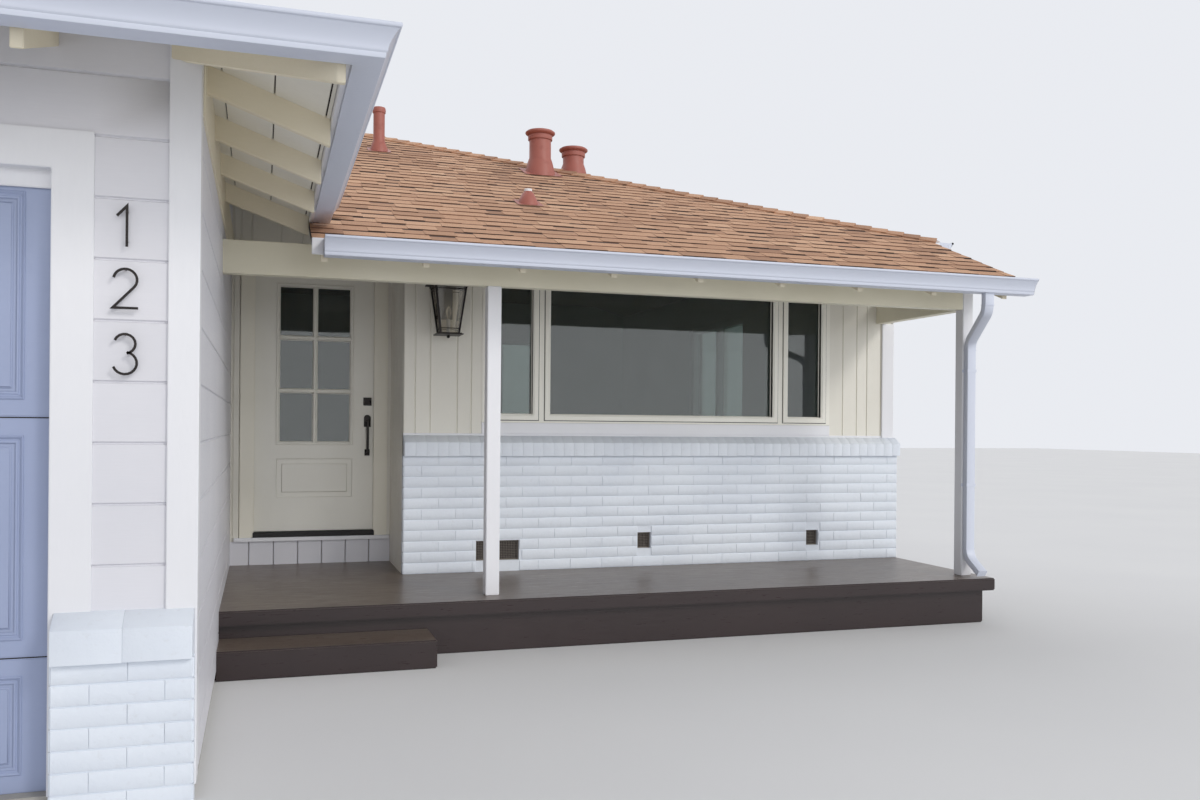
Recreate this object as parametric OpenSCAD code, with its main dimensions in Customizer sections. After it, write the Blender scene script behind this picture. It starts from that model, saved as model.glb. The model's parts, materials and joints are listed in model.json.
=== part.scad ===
// Single-storey bungalow with a garage wing in front and a shallow porch along the main body.
// Millimetres, Z up. House frame: x = 0 is the outer face of the garage's side wall by the entry,
// y = 0 is the outer face of the entry door leaf, z = 0 is the ground. Every piece is then moved
// so that the origin lies under the middle of the whole house.

/* [Body] */
// Width of the garage wing
garage_w = 5830; // [5000:10:7000]
// Front of the garage wing, ahead of the entry door
garage_reach = 4300; // [3400:10:5200]
// Length of the main front to the right of the garage wing
main_len = 5370; // [4600:10:7000]
// Back wall, behind the entry door
back_reach = 6000; // [4800:10:7000]
// Front wall of the main body, ahead of the entry door
front_reach = 765; // [600:5:1000]
// Width of the entry recess
entry_w = 1225; // [1190:5:1400]
// Thickness of the outer walls
wall_t = 140; // [100:5:200]
// Outer face of the wall around the entry door, ahead of the leaf
door_wall_set = 30; // [26:1:40]

/* [Levels] */
// Top of the concrete foundation
foundation_h = 320; // [200:5:326]
// Top of the finished floor
floor_h = 570; // [520:5:574]
// Top of the garage slab
garage_floor_h = 60; // [30:5:150]
// Top of the porch deck
deck_h = 332; // [300:1:420]
// Top of the entry step
step_h = 165; // [120:1:200]

/* [Roof] */
// Rise of the main slopes per run
main_pitch = 0.4167; // [0.38:0.001:0.44]
// Rise of the right end slope of the main roof per run
end_pitch = 0.2917; // [0.27:0.001:0.33]
// Rise of the garage slopes per run
garage_pitch = 0.358; // [0.3:0.001:0.36]
// Thickness of the roof covering and sheathing, measured upright
roof_t = 50; // [35:1:60]
// Porch eave, ahead of the front wall
porch_overhang = 1565; // [1400:5:1800]
// Height of the roof's top at the porch eave
porch_eave_h = 2490; // [2460:5:2600]
// Line where the end slopes start, ahead of the front wall
hip_overhang = 385; // [300:5:450]
// Overhang of the main roof past both end walls
end_overhang = 170; // [120:5:250]
// Overhang of the porch roof past the right end wall
porch_end_overhang = 50; // [20:5:90]
// First porch rafter, past the edge of the garage roof
porch_rafter_set = 50; // [20:5:120]
// Start of the porch gutter, past the edge of the garage roof
porch_gutter_set = 65; // [20:5:120]
// Side overhang of the garage roof
garage_overhang = 500; // [450:10:600]
// Front overhang of the garage roof
garage_front_overhang = 590; // [500:10:700]
// Height of the garage roof's top at its eave
garage_eave_h = 2750; // [2720:5:2800]
// Depth of the rafters, measured upright
rafter_h = 85; // [80:1:110]
// Depth of the garage rafters, measured upright
garage_rafter_h = 120; // [100:1:130]
// Width of a rafter
rafter_w = 40; // [35:1:50]
// Spacing of the porch rafters
rafter_pitch = 587; // [500:1:650]
// Spacing of the garage rafters
garage_rafter_pitch = 715; // [600:5:800]
// First garage rafter, behind the front of the garage wing
garage_rafter_set = 255; // [180:5:400]

/* [Eave trim] */
// Thickness of the fascia boards
fascia_t = 20; // [18:1:30]
// Height of the fascia boards
fascia_h = 95; // [90:1:110]
// Depth of the gutters, wall to front
gutter_d = 150; // [120:1:155]
// Height of the gutters
gutter_h = 112; // [100:1:125]
// Wall thickness of the gutters
gutter_t = 4; // [3:0.5:6]

/* [Porch] */
// Deck edge, ahead of the front wall
deck_reach = 1345; // [1250:5:1500]
// Thickness of the deck
deck_t = 90; // [80:1:120]
// Overhang of the deck over what carries it
deck_nosing = 60; // [20:1:80]
// Depth of the entry step in front of the deck
step_depth = 320; // [280:5:400]
// Front face of the porch beam, ahead of the front wall
beam_reach = 1170; // [1100:5:1200]
// Width of the porch beam and the posts
post_w = 89; // [85:1:120]
// Underside of the porch beam
beam_low = 2320; // [2250:5:2340]
// Left side of the left post
post_left_x = 1610; // [1400:5:2000]
// Gap between the right post and the end of the main body
post_right_set = 65; // [40:5:120]

/* [Brick] */
// Thickness of the brick wainscot
brick_t = 70; // [60:1:90]
// Top of the brickwork under its cap
brick_h = 1201; // [1100:1:1220]
// Height of the cap of bricks on edge
cap_h = 93; // [85:1:95]
// Rise of the cap's sloping top from its front edge to the wall
cap_rise = 50; // [20:1:60]
// How far the cap stands out past the brickwork
cap_out = 30; // [20:1:40]
// Top of the garage brickwork under its cap
garage_brick_h = 555; // [520:1:620]
// Height of the garage cap of bricks on edge
garage_cap_h = 118; // [90:1:125]
// Width of the large crawl space vent
vent_w = 330; // [200:5:350]
// Height of the large crawl space vent
vent_h = 150; // [100:1:160]
// Width of a small crawl space vent
small_vent_w = 110; // [70:1:150]
// Height of a small crawl space vent
small_vent_h = 125; // [90:1:150]

/* [Entry door] */
// Left edge of the door leaf
leaf_x = 176; // [160:1:190]
// Width of the door leaf
leaf_w = 914; // [860:1:920]
// Height of the door leaf
leaf_h = 2032; // [1980:1:2060]
// Thickness of the door leaf
leaf_t = 45; // [40:1:50]
// Underside of the door leaf
leaf_low = 586; // [580:1:600]
// Clearance round the door leaf
leaf_gap = 7; // [6:0.5:9]
// Height of a door hinge
hinge_h = 100; // [80:1:120]
// Outer radius of a hinge barrel
hinge_r = 8; // [7:0.5:9]
// Radius of a hinge pin
pin_r = 4; // [3:0.5:5]
// Running clearance round a hinge pin
pin_gap = 0.1; // [0.05:0.01:0.1]
// Thickness of a hinge plate
hinge_plate = 3; // [2:0.5:4]
// Thickness of the door frame
frame_t = 30; // [25:1:35]
// Width of the door casing
casing_w = 64; // [50:1:90]
// Width of the glazed field in the leaf
lite_w = 541; // [480:1:560]
// Height of the glazed field in the leaf
lite_h = 1218; // [1100:1:1230]
// Underside of the glazed field, above the underside of the leaf
lite_low = 697; // [680:1:720]
// Width of the bars between the panes
muntin_w = 28; // [20:1:34]

/* [Front window] */
// Left edge of the triple window
window_x = 1809; // [1790:1:1900]
// Gap between the triple window and the end of the main front
window_right_set = 602; // [520:1:700]
// Underside of the window frame
window_low = 1449; // [1430:1:1500]
// Top of the window frame
window_high = 2635; // [2560:1:2660]
// Width of the narrow panes
side_pane_w = 309; // [280:1:330]
// Width of the frame members
sash_w = 85; // [60:1:90]
// Width of each mullion between two panes
mullion_w = 138; // [110:1:150]

/* [Other windows] */
// Width of the windows in the other walls
other_w = 1500; // [1000:10:1800]
// Height of the windows in the other walls
other_h = 1150; // [900:10:1200]
// Width of the frames of these windows
other_frame = 60; // [50:1:80]

/* [Garage door] */
// Distance from the wing's side to the door opening
garage_pier = 476; // [420:1:520]
// Top of the garage door opening
garage_open_h = 2365; // [2300:5:2400]
// Width of the casing round the opening
garage_casing = 122; // [100:1:130]
// Thickness of the garage door
garage_door_t = 45; // [40:1:60]
// Depth of the garage door behind the wall's face
garage_door_set = 60; // [50:1:80]
// Depth of the stop that hangs in front of the garage door's top edge
garage_stop_h = 65; // [40:1:80]

/* [Roof vents] */
// Radius of the large flues
flue_r = 100; // [90:1:120]
// Height of the tall flue over the roof
tall_flue_h = 315; // [280:5:400]
// Height of the short flue over the roof
short_flue_h = 230; // [200:5:300]
// Radius of the pipe vents
pipe_r = 50; // [40:1:60]

/* [Hidden] */
$fn = 32;

white = "white";
cream = "ivory";
brick_white = "whitesmoke";
shingle = "rosybrown";
deck_brown = [0.28, 0.22, 0.2];
metal_dark = [0.12, 0.12, 0.13];
vent_red = [0.55, 0.3, 0.27];
concrete = "silver";
pane = [0.6, 0.7, 0.75, 0.5];

garage_left = -garage_w;
garage_front = -garage_reach;
door_wall_y = -door_wall_set;
front_y = -front_reach;
porch_eave_y = front_y - porch_overhang;
hip_y = front_y - hip_overhang;
hip_h = porch_eave_h + main_pitch * (hip_y - porch_eave_y);
main_left_x = garage_left - end_overhang;
main_right_x = main_len + end_overhang;
porch_right_x = main_len + porch_end_overhang;
main_back_y = back_reach + hip_overhang;
ridge_run = (main_back_y - hip_y) / 2;
ridge_y = hip_y + ridge_run;
ridge_h = hip_h + main_pitch * ridge_run;
end_run = main_pitch * ridge_run / end_pitch;
garage_eave_left = garage_left - garage_overhang;
garage_eave_right = garage_overhang;
garage_eave_front = garage_front - garage_front_overhang;
garage_run = (garage_eave_right - garage_eave_left) / 2;
garage_mid_x = garage_eave_left + garage_run;
garage_ridge_h = garage_eave_h + garage_pitch * garage_run;
garage_hip_y = garage_eave_front + garage_run;
// Where the garage ridge has passed under the main roof
garage_back = porch_eave_y + (garage_ridge_h + 3 * roof_t - porch_eave_h) / main_pitch;

// The gutters and fascias reach furthest out, and the origin lies under the middle of them
trim_out = fascia_t + gutter_d;
house_left = garage_eave_left - trim_out;
house_right = main_right_x + trim_out;
house_front = garage_eave_front - trim_out;
house_back = main_back_y + trim_out;
mid_x = (house_left + house_right) / 2;
mid_y = (house_front + house_back) / 2;

low = -1000;
spread = 200;
foundation_set = 20;
foundation_t = 220;

leaf_right = leaf_x + leaf_w;
leaf_high = leaf_low + leaf_h;
frame_left = leaf_x - leaf_gap - frame_t;
frame_right = leaf_right + leaf_gap + frame_t;
frame_high = leaf_high + leaf_gap + frame_t;
lite_x = leaf_x + (leaf_w - lite_w) / 2;
lite_z = leaf_low + lite_low;
beam_y = front_y - beam_reach;
beam_high = porch_eave_h + main_pitch * (beam_y - porch_eave_y) - roof_t - rafter_h;
post_right_x = main_len - post_right_set - post_w;
deck_y = front_y - deck_reach;
deck_right = main_len + 15;
window_w = main_len - window_x - window_right_set;
garage_open_left = garage_left + garage_pier;
garage_open_right = -garage_pier;
other_high = window_high;
other_low = other_high - other_h;

module placed() translate([-mid_x, -mid_y, 0]) children();

module along_x(points, x0, x1) {
    translate([x0, 0, 0]) rotate([90, 0, 90]) linear_extrude(x1 - x0) polygon(points);
}

module along_y(points, y0, y1) {
    translate([0, y1, 0]) rotate([90, 0, 0]) linear_extrude(y1 - y0) polygon(points);
}

module block(x0, x1, y0, y1, z0, z1) {
    translate([x0, y0, z0]) cube([x1 - x0, y1 - y0, z1 - z0]);
}

// Height of the main front slope, and of the garage's side slope by the entry
function front_slope(y) = porch_eave_h + main_pitch * (y - porch_eave_y);
function garage_side_slope(x) = garage_eave_h + garage_pitch * (garage_eave_right - x);

// All that lies below the main roof lowered by drop, down to base. The end slopes start at the
// height where the front slope crosses them, so that they leave the porch slope whole. The porch
// part stops short of the right end slope's overhang.
module under_main(drop, base) {
    intersection() {
        along_x([[porch_eave_y, base], [main_back_y, base], [main_back_y, hip_h - drop],
            [ridge_y, ridge_h - drop], [porch_eave_y, porch_eave_h - drop]],
            main_left_x, main_right_x);
        translate([0, 0, base]) linear_extrude(ridge_h + spread - base)
            polygon([front_left, front_right, notch_right, hip_right, back_right, back_left]);
        along_y([[main_left_x, base], [main_right_x, base], [main_right_x, hip_h - drop],
            [main_right_x - end_run, ridge_h - drop], [main_right_x - end_run, ridge_h + spread],
            [main_left_x + ridge_run, ridge_h + spread], [main_left_x + ridge_run, ridge_h - drop],
            [main_left_x, hip_h - drop]], porch_eave_y, main_back_y);
    }
}

// All that lies below the garage roof lowered by drop, down to base
module under_garage(drop, base) {
    eave = garage_eave_h - drop;
    intersection() {
        along_y([[garage_eave_left, base], [garage_eave_right, base], [garage_eave_right, eave],
            [garage_mid_x, garage_ridge_h - drop], [garage_eave_left, eave]],
            garage_eave_front, garage_back);
        along_x([[garage_eave_front, base], [garage_back, base], [garage_back, ridge_h + spread],
            [garage_hip_y, ridge_h + spread], [garage_hip_y, garage_ridge_h - drop],
            [garage_eave_front, eave]], garage_eave_left, garage_eave_right);
    }
}

// The room under both roofs, which trims the tops of the walls
module under_roofs() {
    under_main(roof_t, low);
    under_garage(roof_t, low);
}

module wall(x0, x1, y0, y1, z0) {
    intersection() {
        block(x0, x1, y0, y1, z0, ridge_h);
        under_roofs();
    }
}

// Outline of the main body, set in from the walls' outer faces
function main_outline(set) = [[garage_left + set, door_wall_y + set],
    [entry_w + set, door_wall_y + set], [entry_w + set, front_y + set],
    [main_len - set, front_y + set], [main_len - set, back_reach - set],
    [garage_left + set, back_reach - set]];

module foundation() placed() color(concrete) linear_extrude(foundation_h) difference() {
    polygon(main_outline(foundation_set));
    polygon(main_outline(foundation_set + foundation_t));
}

module main_floor() placed() color("burlywood") translate([0, 0, foundation_h]) {
    linear_extrude(floor_h - foundation_h) polygon(main_outline(wall_t));
}

module garage_slab() placed() color(concrete) {
    block(garage_left, 0, garage_front, door_wall_y + foundation_set, 0, garage_floor_h);
}

module front_wall() placed() color(cream) difference() {
    wall(entry_w + wall_t, main_len, front_y, front_y + wall_t, foundation_h);
    block(window_x, window_x + window_w, front_y - 1, front_y + wall_t + 1, window_low, window_high);
}

module entry_return_wall() placed() color(cream) {
    wall(entry_w, entry_w + wall_t, front_y, door_wall_y, foundation_h);
}

module door_wall_left() placed() color(cream) {
    wall(-wall_t, frame_left, door_wall_y, door_wall_y + wall_t, foundation_h);
}

module door_wall_right() placed() color(cream) {
    wall(frame_right, entry_w + wall_t, door_wall_y, door_wall_y + wall_t, foundation_h);
}

module door_wall_head() placed() color(cream) {
    wall(frame_left, frame_right, door_wall_y, door_wall_y + wall_t, frame_high);
}

// Window openings in the side and back walls: centre along the wall
right_window_y = (front_y + back_reach) / 2;
left_window_y = back_reach - 1.5 * other_w;
back_window_x = [main_len - 1.3 * other_w, (garage_left + main_len) / 2, garage_left + 1.3 * other_w];

module right_wall() placed() color(white) difference() {
    wall(main_len - wall_t, main_len, front_y + wall_t, back_reach - wall_t, foundation_h);
    block(main_len - wall_t - 1, main_len + 1, right_window_y - other_w / 2,
        right_window_y + other_w / 2, other_low, other_high);
}

module back_wall() placed() color(white) difference() {
    wall(garage_left, main_len, back_reach - wall_t, back_reach, foundation_h);
    for (x = back_window_x)
        block(x - other_w / 2, x + other_w / 2, back_reach - wall_t - 1, back_reach + 1,
            other_low, other_high);
}

module left_wall() placed() color(white) difference() {
    wall(garage_left, garage_left + wall_t, door_wall_y, back_reach - wall_t, foundation_h);
    block(garage_left - 1, garage_left + wall_t + 1, left_window_y - other_w / 2,
        left_window_y + other_w / 2, other_low, other_high);
}

module garage_side_wall() placed() color(white) {
    wall(-wall_t, 0, garage_front, door_wall_y, garage_floor_h);
}

module garage_left_wall() placed() color(white) {
    wall(garage_left, garage_left + wall_t, garage_front, door_wall_y, garage_floor_h);
}

// Garage front with the door opening through it
module garage_front_wall() placed() color(white) difference() {
    wall(garage_left + wall_t, -wall_t, garage_front, garage_front + wall_t, garage_floor_h);
    block(garage_open_left, garage_open_right, garage_front - 1, garage_front + wall_t + 1,
        garage_floor_h - 1, garage_open_h);
}

// Crawl space vents in the front brickwork: left edge, width, height, height over the deck
crawl_list = [[1762, vent_w, vent_h, 80], [3043, small_vent_w, small_vent_h, 140],
    [4526, small_vent_w, small_vent_h, 125]];

module crawl_blocks(y0, y1) {
    for (v = crawl_list)
        block(v[0], v[0] + v[1], y0, y1, deck_h + v[3], deck_h + v[3] + v[2]);
}

module brick_wainscot() placed() color(brick_white) difference() {
    block(entry_w, deck_right, front_y - brick_t, front_y, 0, brick_h);
    crawl_blocks(front_y - brick_t - 1, front_y + 1);
}

// Cap of bricks on edge against a wall: an upright front of height h, a top that slopes up, and
// a flat ledge along the wall, on which the boards stand
cap_ledge = 25;

module cap(x0, x1, y, z, h) along_x([[y, z], [y - brick_t - cap_out, z], [y - brick_t - cap_out, z + h],
    [y - cap_ledge, z + h + cap_rise], [y, z + h + cap_rise]], x0, x1);

module brick_cap() placed() color(brick_white)
    cap(entry_w, deck_right + cap_out / 2, front_y, brick_h, cap_h);

module crawl_vents() placed() color(metal_dark) crawl_blocks(front_y - brick_t / 2, front_y);

// Brick piers beside the garage door, with their cap
garage_cap_top = garage_brick_h + garage_cap_h + cap_rise;

module garage_wainscot() placed() color(brick_white) {
    for (x = [garage_left, garage_open_right]) {
        block(x, x + garage_pier, garage_front - brick_t, garage_front, 0, garage_brick_h);
        cap(x, x + garage_pier, garage_front, garage_brick_h, garage_cap_h);
    }
}

// Plan corners of the main roof
front_left = [main_left_x, porch_eave_y];
front_right = [porch_right_x, porch_eave_y];
notch_right = [porch_right_x, hip_y];
hip_left = [main_left_x, hip_y];
hip_right = [main_right_x, hip_y];
back_left = [main_left_x, main_back_y];
back_right = [main_right_x, main_back_y];
ridge_left = [main_left_x + ridge_run, ridge_y];
ridge_right = [main_right_x - end_run, ridge_y];

// A roof slab over a plan outline. Its upper face runs along x, or along y, through the profile
// points a and b, and its lower face lies a roof thickness below.
function slab_profile(a, b) = [[a[0], a[1] - roof_t], [b[0], b[1] - roof_t], b, a];

module slab_x(outline, a, b) intersection() {
    along_x(slab_profile(a, b), garage_eave_left - spread, main_right_x + spread);
    linear_extrude(ridge_h + spread) polygon(outline);
}

module slab_y(outline, a, b) intersection() {
    along_y(slab_profile(a, b), garage_eave_front - spread, main_back_y + spread);
    linear_extrude(ridge_h + spread) polygon(outline);
}

// Front slope of the main roof, which runs on down over the porch, notched by the garage roof
module roof_front() placed() color(shingle) difference() {
    slab_x([front_left, front_right, notch_right, hip_right, ridge_right, ridge_left, hip_left],
        [porch_eave_y, porch_eave_h], [ridge_y, ridge_h]);
    under_garage(0, low);
}

module roof_back() placed() color(shingle)
    slab_x([back_left, ridge_left, ridge_right, back_right], [ridge_y, ridge_h], [main_back_y, hip_h]);

module roof_ends() placed() color(shingle) {
    slab_y([hip_right, back_right, ridge_right], [ridge_right[0], ridge_h], [main_right_x, hip_h]);
    slab_y([back_left, hip_left, ridge_left], [main_left_x, hip_h], [ridge_left[0], ridge_h]);
}

// Slopes of the garage roof, which stop where they pass under the main front slope
garage_hip = [garage_mid_x, garage_hip_y];

module garage_roof_front() placed() color(shingle)
    slab_x([[garage_eave_left, garage_eave_front], [garage_eave_right, garage_eave_front], garage_hip],
        [garage_eave_front, garage_eave_h], [garage_hip_y, garage_ridge_h]);

module garage_roof_right() placed() color(shingle) difference() {
    slab_y([[garage_eave_right, garage_eave_front], [garage_eave_right, garage_back],
        [garage_mid_x, garage_back], garage_hip],
        [garage_mid_x, garage_ridge_h], [garage_eave_right, garage_eave_h]);
    under_main(roof_t, low);
}

module garage_roof_left() placed() color(shingle) difference() {
    slab_y([[garage_eave_left, garage_eave_front], garage_hip, [garage_mid_x, garage_back],
        [garage_eave_left, garage_back]],
        [garage_eave_left, garage_eave_h], [garage_mid_x, garage_ridge_h]);
    under_main(roof_t, low);
    block(garage_eave_left - spread, main_left_x, hip_y, garage_back + spread, low, ridge_h);
}

module sloped_rafter(x, y0, y1) {
    top0 = front_slope(y0) - roof_t;
    top1 = front_slope(y1) - roof_t;
    along_x([[y0, top0 - rafter_h], [y1, top1 - rafter_h], [y1, top1], [y0, top0]],
        x, x + rafter_w);
}

module porch_rafters() placed() color(cream) intersection() {
    union() for (x = [garage_eave_right + porch_rafter_set : rafter_pitch : porch_right_x - rafter_w])
        sloped_rafter(x, porch_eave_y, front_y);
    under_roofs();
}

// A strip along the hip from the eave corner of the garage roof to the corner of the wing
module hip_strip() translate([0, 0, low]) linear_extrude(2 * ridge_h)
    polygon([for (p = [[-1, 0], [1, 0], [1, 1], [-1, 1]])
        [garage_eave_right + spread - p[1] * (garage_front_overhang - corner_t + spread)
            + p[0] * rafter_w * 0.7,
            garage_eave_front - spread + p[1] * (garage_front_overhang - corner_t + spread)]]);

// Rafter tails under the side and front eaves of the garage roof
module garage_rafters() placed() color(white) intersection() {
    union() {
        for (y = [garage_front + garage_rafter_set : garage_rafter_pitch : hip_y - rafter_w]) {
            block(0, garage_eave_right + spread, y, y + rafter_w, low, ridge_h);
            block(garage_eave_left - spread, garage_left, y, y + rafter_w, low, ridge_h);
        }
        for (x = [-garage_pier - rafter_w : -garage_rafter_pitch : garage_left + corner_w])
            block(x, x + rafter_w, garage_eave_front - spread, garage_front, low, ridge_h);
        hip_strip();
        translate([2 * garage_mid_x, 0, 0]) mirror([1, 0, 0]) hip_strip();
    }
    difference() {
        under_garage(roof_t, low);
        under_garage(roof_t + garage_rafter_h, 2 * low);
    }
}

// Fascia boards, each with its top level with the edge of the roof
module fascia() placed() color(white) {
    porch_top = porch_eave_h;
    garage_top = garage_eave_h;
    block(garage_eave_right, porch_right_x + fascia_t, porch_eave_y - fascia_t, porch_eave_y,
        porch_top - fascia_h, porch_top);
    along_x([[porch_eave_y, porch_top - fascia_h], [hip_y, hip_h - fascia_h], [hip_y, hip_h],
        [porch_eave_y, porch_top]], porch_right_x, porch_right_x + fascia_t);
    block(porch_right_x + fascia_t, main_right_x, hip_y - fascia_t, hip_y, hip_h - fascia_h, hip_h);
    block(main_right_x, main_right_x + fascia_t, hip_y - fascia_t, main_back_y + fascia_t,
        hip_h - fascia_h, hip_h);
    block(main_left_x, main_right_x, main_back_y, main_back_y + fascia_t, hip_h - fascia_h, hip_h);
    block(main_left_x - fascia_t, main_left_x, hip_y, main_back_y + fascia_t,
        hip_h - fascia_h, hip_h);
    block(garage_eave_left - fascia_t, garage_eave_right + fascia_t,
        garage_eave_front - fascia_t, garage_eave_front, garage_top - fascia_h, garage_top);
    block(garage_eave_right, garage_eave_right + fascia_t, garage_eave_front,
        porch_eave_y - fascia_t, garage_top - fascia_h, garage_top);
    block(garage_eave_left - fascia_t, garage_eave_left, garage_eave_front, hip_y,
        garage_top - fascia_h, garage_top);
}

// Gutter section, its back against the fascia at u = 0: a flat bottom, a lip, a front that leans
// out in a cove, and an upright bead along the top. Each point is a share of the depth and height.
gutter_cove = [[0.66, 0], [0.69, 0.14], [0.73, 0.4], [0.83, 0.66], [0.96, 0.8], [1, 0.84], [1, 1]];

function gutter_face(set) = [for (p = gutter_cove)
    [p[0] * gutter_d - set, max(p[1] * gutter_h, set)]];

// A gutter run of the given length, with closed ends, running along +x with its back at y = 0
module gutter(length) difference() {
    rotate([90, 0, 90]) linear_extrude(length) mirror([1, 0])
        polygon(concat([[0, gutter_h], [0, 0]], gutter_face(0)));
    translate([gutter_t, 0, 0]) rotate([90, 0, 90]) linear_extrude(length - 2 * gutter_t)
        mirror([1, 0]) polygon(concat([[gutter_t, gutter_h + 1], [gutter_t, gutter_t]],
            gutter_face(gutter_t), [[gutter_d - gutter_t, gutter_h + 1]]));
}

// The gutters' tops are level with the eaves
module porch_gutter() placed() color(white)
    translate([garage_eave_right + porch_gutter_set, porch_eave_y - fascia_t, porch_eave_h - gutter_h])
        gutter(porch_right_x - garage_eave_right - porch_gutter_set);

module garage_gutter() placed() color(white) {
    z = garage_eave_h - gutter_h;
    side_len = porch_eave_y - fascia_t - garage_eave_front;
    translate([garage_eave_left - trim_out, garage_eave_front - fascia_t, z])
        gutter(garage_eave_right - garage_eave_left + 2 * trim_out);
    translate([garage_eave_right + fascia_t, garage_eave_front - fascia_t, z]) rotate(90)
        gutter(side_len + fascia_t);
    translate([garage_eave_left - fascia_t, hip_y, z]) rotate(-90)
        gutter(hip_y - garage_eave_front + fascia_t);
}

module back_gutters() placed() color(white) {
    z = hip_h - gutter_h;
    run = main_back_y + fascia_t - hip_y;
    translate([main_right_x + fascia_t, hip_y, z]) rotate(90) gutter(run);
    translate([main_left_x - fascia_t, hip_y + run, z]) rotate(-90) gutter(run);
    translate([main_right_x + trim_out, main_back_y + fascia_t, z])
        rotate(180) gutter(main_right_x - main_left_x + 2 * trim_out);
}

// Downspout: an outlet under the gutter, a slanted offset back to the front of the right post,
// a long drop, and a kick-out over the edge of the deck
pipe_w = 76;
pipe_d = 51;
spout_x = post_right_x + (post_w - pipe_w) / 2;
outlet_set = 197;
outlet_h = 160;
elbow_drop = 310;
kick_h = 170;
kick_reach = 35;
pipe_end = 12;

module pipe_box(x, y, z0, z1) block(x, x + pipe_w, y, y + pipe_d, z0, z1);

module downspout() placed() color(white) {
    top = porch_eave_h - gutter_h;
    outlet_y = porch_eave_y - fascia_t - gutter_d * 0.55;
    post_y = beam_y - pipe_d;
    elbow = top - elbow_drop;
    kick = deck_h + kick_h;
    pipe_box(spout_x - outlet_set, outlet_y, top - outlet_h + pipe_d, top);
    hull() {
        pipe_box(spout_x - outlet_set, outlet_y, top - outlet_h, top - outlet_h + pipe_d);
        pipe_box(spout_x, post_y, elbow - pipe_d, elbow);
    }
    pipe_box(spout_x, post_y, kick, elbow - pipe_d);
    hull() {
        pipe_box(spout_x, post_y, kick - pipe_end, kick);
        pipe_box(spout_x, deck_y - kick_reach, deck_h + pipe_end, deck_h + pipe_end + pipe_d);
    }
}

module porch_beam() placed() color(cream)
    block(0, post_right_x, beam_y, beam_y + post_w, beam_low, beam_high);

module end_beam() placed() color(cream)
    block(post_right_x, post_right_x + post_w, beam_y + post_w, front_y, beam_low, beam_high);

// The left post stands under the beam, and the right one runs up past its end
module posts() placed() color(white) for (p = [[post_left_x, beam_low], [post_right_x, beam_high]])
    block(p[0], p[0] + post_w, beam_y, beam_y + post_w, deck_h, p[1]);

// Outline of the porch deck, its free edges set in
function deck_outline(set) = [[0, deck_y + set], [deck_right - set, deck_y + set],
    [deck_right - set, front_y - brick_t], [entry_w, front_y - brick_t], [entry_w, door_wall_y],
    [0, door_wall_y]];

module porch_deck() placed() color(deck_brown) {
    linear_extrude(deck_h - deck_t) polygon(deck_outline(deck_nosing));
    translate([0, 0, deck_h - deck_t]) linear_extrude(deck_t) polygon(deck_outline(0));
}

module entry_step() placed() color(deck_brown)
    block(0, entry_w, deck_y - step_depth, deck_y + deck_nosing, 0, step_h);

// Door frame: two jambs and a head with a stop in front of the leaf, and the casing on the wall
stop_w = 12;
stop_gap = 5;
casing_t = 20;
// The board under the door: height and reach beyond the casing, on which the casing stands
sill_board_h = 30;
sill_board_d = 15;
casing_low = floor_h - 26;

module door_frame() placed() color(white) {
    y0 = door_wall_y;
    y1 = leaf_t;
    inner_left = frame_left + frame_t;
    inner_right = frame_right - frame_t;
    inner_high = frame_high - frame_t;
    difference() {
        union() {
            block(frame_left, frame_right, y0, y1, floor_h, frame_high);
            block(max(frame_left - casing_w, 1), min(frame_right + casing_w, entry_w - 1),
                y0 - casing_t, y0, casing_low, frame_high + casing_w);
        }
        block(inner_left, inner_right, -stop_gap, y1 + 1, casing_low - 1, inner_high);
        block(inner_left + stop_w, inner_right - stop_w, y0 - casing_t - 1, y1,
            casing_low - 1, inner_high - stop_w);
    }
}

// Three butt hinges inside the left jamb: knuckles and a pin on the jamb, a barrel on the leaf
hinge_x = leaf_x - leaf_gap / 2;
hinge_y = leaf_t + hinge_r;
hinge_z = [for (h = [180, leaf_h / 2, leaf_h - 180]) leaf_low + h];

module knuckle(z0, z1, side) {
    translate([hinge_x, hinge_y, z0]) cylinder(h = z1 - z0, r = hinge_r);
    block(min(hinge_x, hinge_x + side * 14), max(hinge_x, hinge_x + side * 14),
        leaf_t, leaf_t + hinge_plate, z0, z1);
}

module door_hinges() placed() color("darkgray") for (z = hinge_z) {
    block(frame_left, hinge_x - 10, leaf_t, leaf_t + hinge_plate, z - hinge_h / 2, z + hinge_h / 2);
    knuckle(z - hinge_h / 2, z - hinge_h / 6 - pin_gap, -1);
    knuckle(z + hinge_h / 6 + pin_gap, z + hinge_h / 2, -1);
    translate([hinge_x, hinge_y, z - hinge_h / 2]) cylinder(h = hinge_h, r = pin_r);
}

module hinge_leaves() placed() color("darkgray") for (z = hinge_z) {
    block(hinge_x + 10, hinge_x + 42, leaf_t, leaf_t + hinge_plate, z - hinge_h / 2, z + hinge_h / 2);
    difference() {
        knuckle(z - hinge_h / 6, z + hinge_h / 6, 1);
        translate([hinge_x, hinge_y, z - hinge_h]) cylinder(h = 2 * hinge_h, r = pin_r + pin_gap);
    }
}

module door_sill() placed() color(white) {
    inner_left = frame_left + frame_t;
    inner_right = frame_right - frame_t;
    block(inner_left, inner_right, -stop_gap, leaf_t, floor_h, leaf_low - leaf_gap);
    block(inner_left + stop_w, inner_right - stop_w, door_wall_y - casing_t, -stop_gap,
        floor_h, leaf_low - leaf_gap);
    block(frame_left, frame_right, leaf_t, door_wall_y + wall_t, floor_h, leaf_low - leaf_gap);
    block(max(frame_left - casing_w - 40, 1), min(frame_right + casing_w + 20, entry_w - 1),
        door_wall_y - casing_t - sill_board_d, door_wall_y, casing_low - sill_board_h, casing_low);
}

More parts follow.
